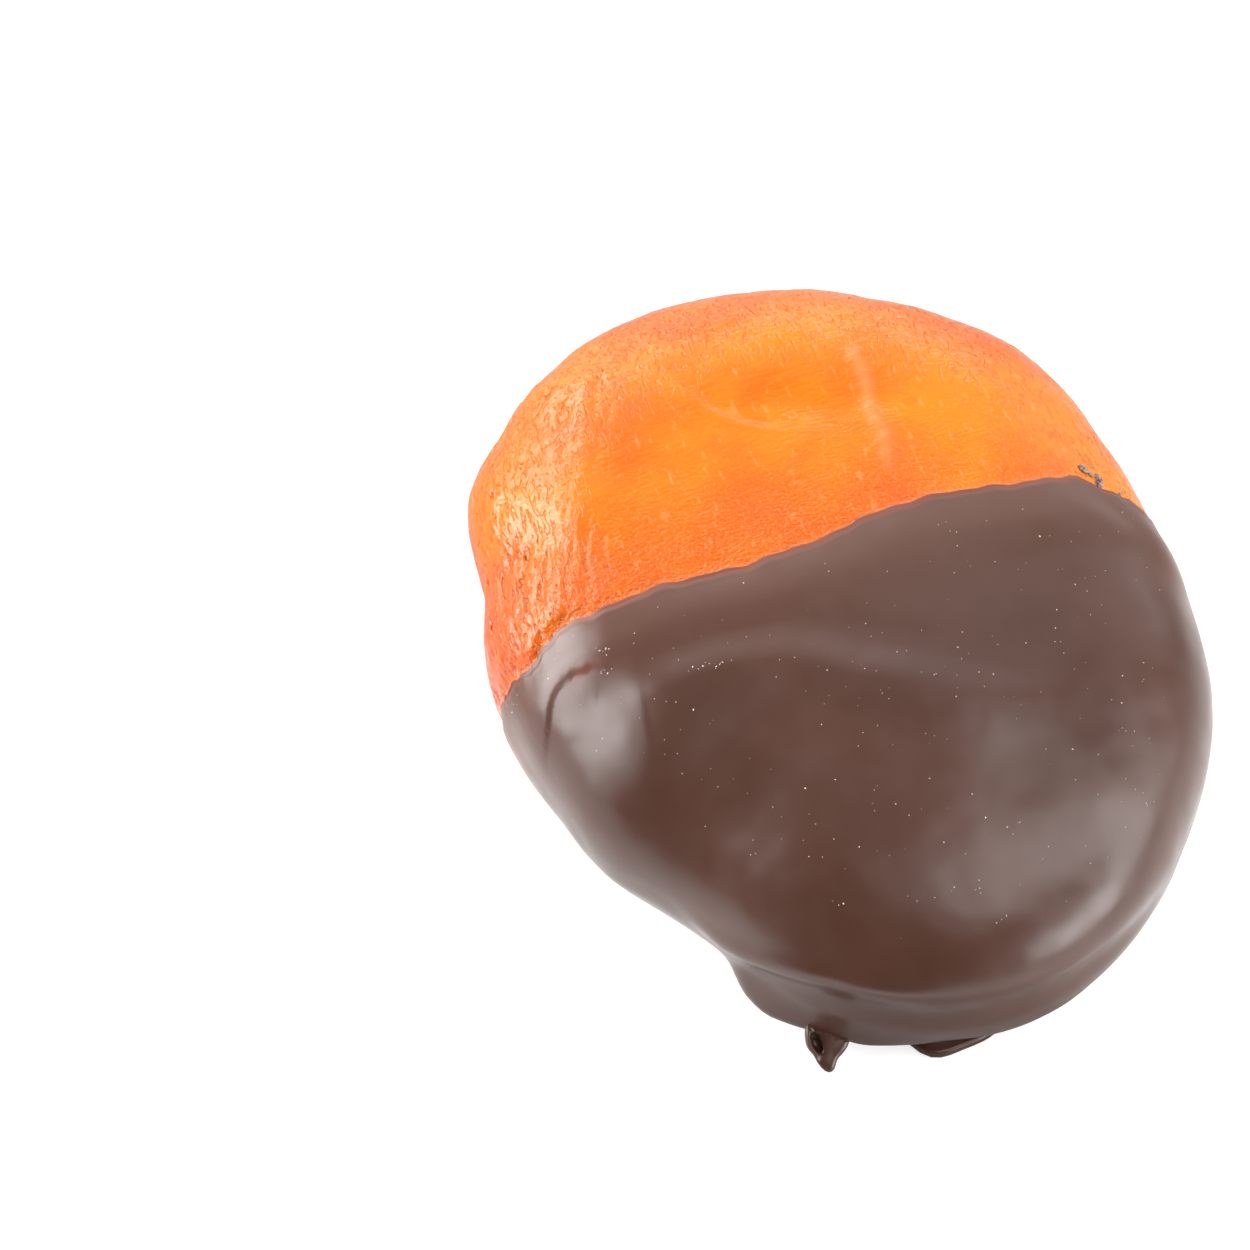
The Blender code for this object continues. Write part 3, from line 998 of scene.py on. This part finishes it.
@dataclass
class FootPad:
    """Thin pad of chocolate that set on the tray, flat underneath."""

    body: DippedBody
    height: float = 0.75
    share: float = 0.74
    back: float = 2.4
    columns: int = 260
    lobes: tuple[Place, ...] = ((-115.0, 4.3, 6.0), (-95.0, 4.4, 4.5), (-86.0, 3.6, 5.0), (-76.0, 2.6, 6.0))

    def radius(self, angle: Values) -> Values:
        """Plan radius, with the lobes at the front and a nearly straight back."""
        radius = self.share * self.body.form.outline(angle)
        for centre, reach, width in self.lobes:
            radius = radius + reach * bump(angle_gap(angle, centre), width)
        back = self.back / np.maximum(np.sin(np.radians(angle)), 0.02)
        return (radius ** -6.0 + back ** -6.0) ** (-1.0 / 6.0)

    def build(self) -> bpy.types.Object:
        """Make the pad.

        Returns:
            The pad, to be fused to the coat.
        """
        angles = np.linspace(0.0, 360.0, self.columns, endpoint=False)
        radius = self.radius(angles)
        turns = np.linspace(-0.5, 0.5, 9) * np.pi
        profile = [(0.5 * self.height * (1.0 + math.sin(t)), 0.30 * (1.0 - math.cos(t))) for t in turns]
        points = np.vstack([Bench.ring(angles, radius - inset, rise) for rise, inset in profile])
        count = len(profile)
        faces = [tuple(face) for face in Bench.bands(count, self.columns).tolist()]
        faces.append(tuple(reversed(range(self.columns))))
        faces.append(tuple(range((count - 1) * self.columns, count * self.columns)))
        return Bench.make("foot_pad", points + self.body.on_tray((0.0, 0.0, 0.0)), faces)


@dataclass
class CurledDrip:
    """Small curled tongue with a deep pocket and a drawn out tip."""

    body: DippedBody
    at: Place = (-8.5, -21.3, 2.05)
    pocket: Spot = (0.30, 0.68)
    slant: float = 24.0
    strand: float = 0.34
    tip: float = 1.58
    tip_angle: float = -66.0
    thickness: float = 1.10
    turn: float = -17.0
    lean: float = 30.0
    columns: int = 64

    def edge(self, angle: Values, pocket: Values) -> Values:
        """Distance from the pocket's middle to the tongue's outer edge."""
        reach = pocket + self.strand
        reach = reach + (self.tip - 0.8) * bump(angle_gap(angle, self.tip_angle), 15.0)
        reach = reach + 0.62 * bump(angle_gap(angle, -20.0), 30.0)
        return reach + 1.60 * bump(angle_gap(angle, 45.0), 40.0)

    def build(self) -> bpy.types.Object:
        """Make the tongue.

        Returns:
            The tongue, to be fused to the coat.
        """
        angles = np.linspace(0.0, 360.0, self.columns, endpoint=False)
        wide, long = self.pocket
        slanted = np.radians(angles - 90.0 - self.slant)
        pocket = 1.0 / np.hypot(np.cos(slanted) / long, np.sin(slanted) / wide)
        edge = self.edge(angles, pocket)
        thick = self.thickness * (1.0 - 0.55 * blend(edge, 1.2, self.tip))
        rings = (
            (0.50, 0.0, -0.50), (0.80, 0.0, -0.46), (0.96, 0.0, -0.28), (1.0, 0.0, 0.0), (0.96, 0.0, 0.24),
            (0.80, 0.16, 0.42), (0.45, 0.55, 0.50), (0.16, 0.92, 0.50), (0.03, 1.0, 0.44),
            (0.0, 1.0, 0.30), (0.0, 0.92, 0.0), (0.0, 0.75, -0.20),
        )
        points = [np.array([[0.0, 0.0, -0.5 * self.thickness]])]
        for outer, inner, rise in rings:
            points.append(Bench.ring(angles, outer * edge + inner * pocket, rise * thick))
        points.append(np.array([[0.0, 0.0, -0.25 * self.thickness]]))
        flat = np.vstack(points)
        place = Matrix.Rotation(math.radians(self.turn), 3, "Z")
        place = place @ Matrix.Rotation(math.radians(self.lean), 3, "X")
        moved = flat @ np.array(place).T + self.body.on_tray(self.at)
        return Bench.make("drip_tongue", moved, Bench.closed_rings(len(rings), self.columns))


@dataclass
class ChocolateCoat:
    """The set chocolate shell with its folds, brim, skirt, foot and drip."""

    body: DippedBody
    columns: int = 450
    crowding: float = 0.40
    outside_rings: int = 190
    lip_rings: int = 5
    lining_rings: int = 10
    skirt_angles: tuple[float, ...] = (
        -132.0, -126.0, -121.0, -116.0, -111.0, -105.0, -99.0, -92.0, -84.0, -75.0, -62.0, -48.0,
    )
    skirt_reaches: tuple[float, ...] = (0.0, 2.8, 3.2, 2.6, 2.2, 2.3, 1.8, 1.1, 1.5, 1.7, 0.8, 0.0)
    skirt_top: float = 5.4
    skirt_full: float = 1.0
    skirt_blur: Place = (-1.5, 0.0, 1.5)
    edge_blur: int = 12
    lip_round: float = 0.2
    lining: float = 0.05
    joint: Place = (-7.6, -20.4, 2.0)
    joint_reach: float = 1.1
    joint_rounds: int = 6
    joint_floor: float = 0.05
    joint_edge: float = 0.12
    lip_band: Spot = (4.0, 9.0)
    # share and reach of the painted light along the lip
    lip_thin: Spot = (0.85, 0.16)
    painted_lip_light_band: Spot = (0.8, 3.4)
    trim: Spot = (0.04, 0.055)
    brow_rise: float = 0.45
    brow_across: Span = (-1.2, 1.3, 1.0, 7.5)
    brow_groove: float = 0.08
    hook_rise: float = 0.10
    hook_across: Span = (-2.2, -0.2, -0.05, 0.05)
    hook_roll: float = 0.07
    roll_across: Span = (0.1, 1.4, 1.4, 3.2)
    brim_rise: float = 0.38
    brim_round: Span = (-142.0, -126.0, -108.0, -88.0)
    brim_hollow: float = 0.55
    hollow_round: Span = (-130.0, -120.0, -70.0, -50.0)
    ripple: float = 0.035
    brow: Trace = Trace((
        (-15.6, -0.5), (-13.5, -0.8), (-11.8, -0.9), (-8.4, -0.9), (-5.0, -1.4), (-2.7, -2.4), (-0.5, -3.9),
        (1.9, -5.0), (4.2, -6.3), (6.6, -7.6), (10.0, -8.6), (14.0, -9.0),
    ), (4.5, 9.0))
    hook: Trace = Trace((
        (-20.2, -2.3), (-19.7, -1.3), (-19.2, -0.5), (-18.8, 0.3), (-18.4, 0.8), (-18.0, 1.15), (-17.3, 1.3),
        (-16.5, 1.2), (-15.6, 0.95), (-14.9, 0.6), (-14.0, 0.2),
    ), (1.8, 3.4))
    under_hook: Patch = Patch(-0.13, (-16.3, 0.1), (1.6, 1.0), -35.0)
    thin_spot: Patch = Patch(0.24, (-16.6, 1.1), (0.7, 0.25))
    finish: ChocolateFinish = field(default_factory=ChocolateFinish)

    def folds(self, plain: Points) -> Values:
        """Height of the folds that the coat's outside shows.

        Args:
            plain: points of the plain form, from the core.

        Returns:
            The height at each point.
        """
        x, y, z = plain[:, 0], plain[:, 1], plain[:, 2]
        up = blend(z, -2.0, 3.0)
        angle = plan_angle(x, y)
        below, along = self.brow.measure(x, y)
        step = self.brow_rise * window(below, *self.brow_across)
        height = (step - self.brow_groove * bump(below + 1.8, 0.9)) * along
        inward, along = self.hook.measure(x, y)
        height += self.hook_rise * window(inward, *self.hook_across) * along
        height += self.hook_roll * window(inward, *self.roll_across) * along
        height += self.under_hook.at(x, y)
        height -= self.trim[0] + self.trim[1] * blend(-x, 15.0, 20.0)
        height *= up
        crest = 2.2 - 2.6 * blend(-angle, 108.0, 134.0)
        height += self.brim_rise * window(angle, *self.brim_round) * bump(z - crest, 0.65)
        height -= self.brim_hollow * window(angle, *self.hollow_round) * bump(z - crest + 2.6, 1.3)
        return height + self.ripple * Grain(21).layers(plain / 3.4, 2)

    def outside(self, plain: Points) -> Values:
        """Height of the coat's outside with its folds, for points on top."""
        dip = self.body.dip
        depth = 0.8 * (np.interp(plain[:, 0], dip.widths, dip.levels) - plain[:, 1])
        return dip.outside(depth, depth, plain[:, 2]) + self.folds(plain)

    def skirt(self, point: Points) -> Points:
        """Points shifted outward where the coat runs out to the tray.

        Args:
            point: world points of the coat's outside.

        Returns:
            The shifted points.
        """
        core = self.body.form.core
        x, y = point[:, 0] - core[0], point[:, 1] - core[1]
        angle, far = plan_angle(x, y), np.hypot(x, y)
        reaches = [np.interp(angle + step, self.skirt_angles, self.skirt_reaches) for step in self.skirt_blur]
        low = 1.0 - blend(point[:, 2], self.skirt_full, self.skirt_top)
        out = sum(reaches) / len(reaches) * low ** 1.5
        out = out * blend(far / self.body.form.outline(angle), 0.25, 0.75) / (far + 1e-9)
        return point + np.stack([out * x, out * y, np.zeros_like(out)], -1)

    def shell(self) -> tuple[Points, int]:
        """Points of the shell from the chocolate end, over the lip and back inside.

        Returns:
            The points with a pole at each end, and the number of rings between.
        """
        body, dip = self.body, self.body.dip
        columns, edge = body.spaced_columns(self.columns, self.crowding)
        blur = range(-self.edge_blur, self.edge_blur + 1)
        smooth_edge = np.mean([np.roll(edge, step) for step in blur], axis=0)
        pole, floor = np.zeros(1), body.shell_floor
        tip = dip.wall_deep + dip.gap - dip.sunk + self.folds(body.form.plain(pole, pole))
        points = [self.skirt(body.surface(pole, pole, tip, floor))]
        for share in np.linspace(0.0, 1.0, self.outside_rings + 1)[1:]:
            polar = share * edge
            depth = dip.depth(polar, edge)
            plain = body.form.plain(polar, columns)
            lift = dip.outside(depth, dip.depth(polar, smooth_edge), plain[:, 2])
            in_lip = 1.0 - np.clip(depth / self.lip_round, 0.0, 1.0)
            lift = lift - 0.5 * dip.wall_at_lip * (1.0 - np.sqrt(1.0 - in_lip ** 2))
            points.append(self.skirt(body.surface(polar, columns, lift + self.folds(plain), floor)))
        for share in np.linspace(0.0, 1.0, self.lip_rings):
            depth_in = dip.wall_at_lip * (0.5 - 0.62 * share)
            out = 0.004 * math.sin(math.pi * (0.25 + 0.75 * share))
            points.append(body.surface(edge + out, columns, depth_in, floor + 0.4 * share))
        for share in np.linspace(0.97, 0.0, self.lining_rings, endpoint=False):
            polar = share * edge
            depth = dip.depth(polar, edge)
            lift = self.lining - dip.fruit_sink(depth)
            points.append(body.surface(polar, columns, lift, floor + dip.wall(depth)))
        points.append(body.surface(pole, pole, self.lining - dip.sunk, floor + dip.wall_deep))
        return np.vstack(points), self.outside_rings + self.lip_rings + self.lining_rings

    def soften(self, piece: bpy.types.Object) -> None:
        """Melt the drip's joint into a smooth fillet.

        Args:
            piece: the fused coat.
        """
        centre = Vector(self.body.on_tray(self.joint))
        work = bmesh.new()
        work.from_mesh(piece.data)

        def near() -> list[bmesh.types.BMVert]:
            """Points beside the joint, above the tray."""
            close = (v for v in work.verts if (v.co / MM - centre).length < self.joint_reach)
            return [v for v in close if v.co.z > self.joint_floor * MM]

        inside = set(near())
        long = self.joint_edge * MM
        edges = [e for e in work.edges if inside.issuperset(e.verts) and e.calc_length() > long]
        bmesh.ops.subdivide_edges(work, edges=edges, cuts=1, use_grid_fill=True)
        bmesh.ops.triangulate(work, faces=[f for f in work.faces if len(f.verts) > 4])
        ways = {"use_axis_x": True, "use_axis_y": True, "use_axis_z": True}
        verts = near()
        for _ in range(self.joint_rounds):
            bmesh.ops.smooth_vert(work, verts=verts, factor=0.5, **ways)
        work.to_mesh(piece.data)
        work.free()
        piece.data.update()

    def build(self) -> bpy.types.Object:
        """Make the coat with its foot and drip fused on.

        Returns:
            The coat piece.
        """
        points, rings = self.shell()
        piece = Bench.make("chocolate_shell", points, Bench.closed_rings(rings, self.columns))
        extras = bpy.data.collections.new("fused_on")
        for extra in (FootPad(self.body).build(), CurledDrip(self.body).build()):
            bpy.context.scene.collection.objects.unlink(extra)
            extras.objects.link(extra)
        fuse = piece.modifiers.new("fuse", "BOOLEAN")
        fuse.operation = "UNION"
        fuse.operand_type = "COLLECTION"
        fuse.collection = extras
        fuse.solver = "MANIFOLD"
        Bench.bake_modifiers(piece)
        for extra in list(extras.objects):
            bpy.data.objects.remove(extra, do_unlink=True)
        bpy.data.collections.remove(extras)
        self.soften(piece)
        piece.data.shade_smooth()
        self.mark(piece)
        piece.data.materials.clear()
        piece.data.materials.append(self.finish.material())
        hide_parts("chocolate_coat")
        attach(piece, "root")
        return piece

    def mark(self, piece: bpy.types.Object) -> None:
        """Store where the chocolate is thin, at its lip and under the hooked fold, and the band along the lip
        that painted light makes lighter.
        """
        body = self.body
        columns, edge = body.spaced_columns(self.columns, self.crowding)
        ring = body.surface(edge, columns, 0.3, body.shell_floor)
        tree = kdtree.KDTree(len(ring))
        for index, point in enumerate(ring):
            tree.insert(point, index)
        tree.balance()
        here = Bench.coordinates(piece)
        core, (middle, reach) = body.form.core, self.lip_band
        away = np.full(len(here), reach)
        close = np.abs(here[:, 1] - core[1] - middle) < reach
        for index in np.nonzero(close)[0]:
            away[index] = tree.find(here[index])[2]
        x, y = here[:, 0] - core[0], here[:, 1] - core[1]
        thin = self.lip_thin[0] * bump(away, self.lip_thin[1])
        thin = thin + self.thin_spot.at(x, y) * (here[:, 2] > body.form.rise)
        Bench.weight(piece, "thin", np.clip(thin, 0.0, 1.0))
        # painted light: a lighter band along the lip
        Bench.weight(piece, "painted_lip_light", self.painted_lip_light_band[0] * bump(away, self.painted_lip_light_band[1]))


@dataclass
class Crumbs:
    """Small lumps stuck to the surface, as one piece."""

    body: DippedBody
    name: str
    finish: CrumbFinish
    slot: str
    places: tuple[tuple[float, float, float, float, float], ...]
    lift: float = 0.05
    seed: int = 31
    detail: int = 3
    folds: Callable[[Points], Values] | None = None

    def build(self) -> bpy.types.Object:
        """Make the lumps.

        Returns:
            The piece that holds them all.
        """
        work = bmesh.new()
        for number, (x, y, long, wide, turn) in enumerate(self.places):
            at, up = self.body.on_skin((x, y), self.lift, self.folds)
            made = bmesh.ops.create_icosphere(work, subdivisions=self.detail, radius=1.0)
            shape = np.array([v.co[:] for v in made["verts"]])
            rough = Grain(self.seed + number).layers(shape * 1.7, 3)
            shape = shape * (1.0 + 0.38 * rough)[:, None] * np.array([long, wide, 0.6 * wide])
            frame_up = up.to_track_quat("Z", "Y").to_matrix()
            place = frame_up @ Matrix.Rotation(math.radians(turn), 3, "Z")
            moved = (shape @ np.array(place).T + np.array(at)) * MM
            for vert, co in zip(made["verts"], moved):
                vert.co = co
        mesh = bpy.data.meshes.new(self.name)
        work.to_mesh(mesh)
        work.free()
        mesh.shade_smooth()
        piece = placed(self.name, mesh)
        piece.data.materials.append(self.finish.material())
        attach(piece, "root")
        return piece


@dataclass
class SugarDust:
    """Tiny pale specks scattered over the chocolate."""

    body: DippedBody
    count: int = 260
    seed: int = 41
    sizes: Spot = (0.014, 0.036)
    clusters: tuple[Spot, ...] = ((-15.2, 0.4), (-15.0, 1.5), (-10.0, -1.6), (-8.9, -1.9), (-20.4, 2.3))
    cluster_count: int = 7
    cluster_sizes: Spot = (0.015, 0.04)
    cluster_spread: Spot = (0.24, 0.13)

    def build(self) -> bpy.types.Object:
        """Scatter the specks.

        Returns:
            The piece that holds them all.
        """
        draw = np.random.default_rng(self.seed)
        places = []
        while len(places) < self.count:
            x, y = draw.uniform(-20.0, 20.0), draw.uniform(-23.0, 4.0)
            angle = plan_angle(np.array([x]), np.array([y]))
            if math.hypot(x, y) > 0.92 * self.body.form.outline(angle)[0] or y > 3.6:
                continue
            size = draw.uniform(*self.sizes) * (1.0 if draw.random() < 0.85 else 1.5)
            places.append((x, y, size * draw.uniform(1.0, 1.8), size, draw.uniform(0.0, 180.0)))
        for x, y in self.clusters:
            for _ in range(self.cluster_count):
                size = draw.uniform(*self.cluster_sizes)
                turned = draw.uniform(0.0, 180.0)
                dx, dy = (draw.normal(0.0, spread) for spread in self.cluster_spread)
                places.append((x + dx, y + dy, 2.2 * size, size, turned))
        finish = CrumbFinish("sugar_dust", (0.34, 0.25, 0.20, 1.0), (0.70, 0.62, 0.55, 1.0))
        coat = ChocolateCoat(self.body)
        return Crumbs(
            self.body, "sugar_dust", finish, "dark_chocolate", tuple(places), 0.01, self.seed, 1, coat.outside
        ).build()


@dataclass(frozen=True)
class Lamp:
    """One soft lamp, placed by its direction from the object."""

    kind: LampKind
    azimuth: float
    elevation: float
    width: float
    height: float
    radiance: float
    distance: float = 0.60

    def build(self) -> None:
        """Hang the lamp, facing the object."""
        data = bpy.data.lights.new(self.kind.value, "AREA")
        data.shape = "RECTANGLE"
        data.size, data.size_y = self.width, self.height
        data.energy = self.radiance * math.pi * self.width * self.height
        lamp = placed(self.kind.value, data)
        a, e = math.radians(self.azimuth), math.radians(self.elevation)
        toward = Vector((math.sin(a) * math.cos(e), math.cos(a) * math.cos(e), math.sin(e)))
        lamp.location = toward * self.distance
        lamp.rotation_euler = toward.to_track_quat("Z", "Y").to_euler()


@dataclass
class Studio:
    """Pale floor, soft lamps and the camera."""

    azimuth: float = -17.0
    elevation: float = 60.0
    distance: float = 420.0
    mm_per_pixel: float = 0.0625
    frame_pixels: int = 1250
    subject_pixel: Spot = (844.0, 672.0)
    subject: Place = (-0.54, -1.56, 8.0)
    floor_glow: float = 0.72
    mirrored_glow: float = 1.3
    far_glow: float = 0.50
    floor_size: float = 3.0
    floor_mirrored: Colour = (0.40, 0.40, 0.40, 1.0)
    floor_seen: Colour = (0.42, 0.42, 0.42, 1.0)
    white: Colour = (1.0, 1.0, 1.0, 1.0)
    shade_centre: Place = (-0.002, -0.028, 0.0)
    shade_edge: Spot = (0.008, 0.020)
    back_edge: Spot = (0.001, 0.016)
    far_edge: Spot = (0.035, 0.090)
    dark_azimuth: float = -135.0
    dark_sink: float = -0.1
    lamps: tuple[Lamp, ...] = (
        Lamp(LampKind.LEFT, -69.0, 19.0, 0.40, 0.60, 9.3),
        Lamp(LampKind.BACK, -34.0, 19.0, 0.56, 0.34, 4.6),
        Lamp(LampKind.RIGHT, 112.0, 28.0, 0.32, 0.50, 5.6),
        Lamp(LampKind.RIGHT_LOW, 142.0, 8.0, 0.32, 0.30, 10.5),
        Lamp(LampKind.HIGH, 140.0, 63.0, 0.46, 0.30, 4.0),
        Lamp(LampKind.HORIZON, 8.0, 8.0, 0.60, 0.16, 2.8),
        Lamp(LampKind.TOP, 20.0, 60.0, 0.50, 0.36, 0.9),
        Lamp(LampKind.BACK_RIGHT, 48.0, 28.0, 0.50, 0.40, 0.85),
        Lamp(LampKind.BROW, 4.0, 39.0, 0.30, 0.13, 2.6),
        Lamp(LampKind.EDGE, 58.0, 12.0, 0.34, 0.18, 1.2),
    )

    def floor(self) -> None:
        """Lay the pale floor; to mirrored rays its glow is painted light, with painted shade close to the
        subject's front and behind it, and dimmer far off.
        """
        size, glow = self.floor_size, self.mirrored_glow
        mesh = bpy.data.meshes.new("floor")
        corners = [(-size, -size, 0.0), (size, -size, 0.0), (size, size, 0.0), (-size, size, 0.0)]
        mesh.from_pydata(corners, [], [(0, 1, 2, 3)])
        floor = placed("floor", mesh)
        material, paint = NodePaint.material("pale_floor")
        seen = paint.node("LightPath", {})["Is Camera Ray"]
        place = paint.node("TexCoord", {})["Object"]
        away = paint.node("VectorMath", {0: place, 1: self.shade_centre}, operation="DISTANCE")["Value"]
        # painted shade in the glow that mirrored rays see: dark near the subject's front, dark behind it,
        # dimmer far off
        front = paint.ranged(away, *self.shade_edge, 0.0, glow)
        back = paint.ranged(paint.node("SeparateXYZ", {0: place})["Y"], *self.back_edge, glow, 0.0)
        far = paint.ranged(away, *self.far_edge, glow, self.far_glow)
        mirrored = paint.maths("MINIMUM", paint.maths("MINIMUM", front, back), far)
        strength = paint.node("Mix", {"Factor": seen, "A": mirrored, "B": self.floor_glow})["Result"]
        paint.shade({
            "Base Color": paint.mix(seen, self.floor_mirrored, self.floor_seen),
            "Emission Color": self.white,
            "Emission Strength": strength,
            "Roughness": 0.9,
            "Specular IOR Level": 0.0,
        })
        mesh.materials.append(material)

    def surroundings(self) -> None:
        """White room, darker towards the camera's left, as in a small light tent."""
        world = bpy.data.worlds.new("light_tent")
        bpy.context.scene.world = world
        world.use_nodes = True
        paint = NodePaint(world.node_tree)
        a = math.radians(self.dark_azimuth)
        inputs = {0: paint.node("TexCoord", {})["Generated"], 1: (math.sin(a), math.cos(a), self.dark_sink)}
        toward = paint.node("VectorMath", inputs, operation="DOT_PRODUCT")["Value"]
        dim = paint.ranged(toward, -0.6, 0.5, 0.3, 0.03)
        bright = paint.maths("MAXIMUM", paint.node("LightPath", {})["Is Camera Ray"], dim)
        back = world.node_tree.nodes["Background"]
        paint.feed(back.inputs["Strength"], bright)
        paint.feed(back.inputs["Color"], self.white)

    def camera(self) -> None:
        """Set the camera where the photograph was taken from."""
        a, e = math.radians(self.azimuth), math.radians(self.elevation)
        back = Vector((math.sin(a) * math.cos(e), -math.cos(a) * math.cos(e), math.sin(e)))
        right = Vector((math.cos(a), math.sin(a), 0.0))
        up = back.cross(right)
        middle = 0.5 * self.frame_pixels
        aim = Vector(self.subject) - right * (self.subject_pixel[0] - middle) * self.mm_per_pixel
        aim = aim + up * (self.subject_pixel[1] - middle) * self.mm_per_pixel
        data = bpy.data.cameras.new("camera")
        data.sensor_width = 36.0
        data.lens = self.distance / (self.mm_per_pixel * self.frame_pixels) * data.sensor_width
        data.clip_start, data.clip_end = 0.01, 20.0
        camera = placed("camera", data)
        turn = Matrix((right, up, back)).transposed().to_4x4()
        camera.matrix_world = Matrix.Translation((aim + back * self.distance) * MM) @ turn
        bpy.context.scene.camera = camera

    def build(self) -> None:
        """Set up the whole studio."""
        self.floor()
        self.surroundings()
        for lamp in self.lamps:
            lamp.build()
        self.camera()
        view = bpy.context.scene.view_settings
        view.view_transform = "Standard"
        view.look = "None"


def report(piece: bpy.types.Object) -> None:
    """Log a piece's name, faces and size."""
    size = piece.dimensions / MM
    log.info("%s: %d faces, %.1f x %.1f x %.1f mm", piece.name, len(piece.data.polygons), *size)


def main() -> None:
    """Build every piece in order and report it."""
    logging.basicConfig(level=logging.INFO, format="%(name)s: %(message)s")
    body = DippedBody()
    report(CandiedApricot(body).build())
    report(ChocolateCoat(body).build())
    crumb = CrumbFinish("chocolate_crumb", (0.060, 0.022, 0.018, 1.0), (0.30, 0.20, 0.18, 1.0))
    crumbs = Crumbs(body, "chocolate_crumbs", crumb, "dark_chocolate", (
        (17.6, 6.3, 0.42, 0.24, 20.0), (18.3, 5.4, 0.55, 0.26, -30.0), (17.95, 5.85, 0.20, 0.16, 0.0),
        (19.3, 4.35, 0.50, 0.09, -62.0), (19.9, 3.55, 0.55, 0.08, -62.0), (20.9, 2.2, 0.5, 0.08, -70.0),
        (21.2, 1.2, 0.5, 0.09, -80.0),
    ))
    report(crumbs.build())
    report(SugarDust(body).build())
    Studio().build()


if __name__ == "__main__":
    main()
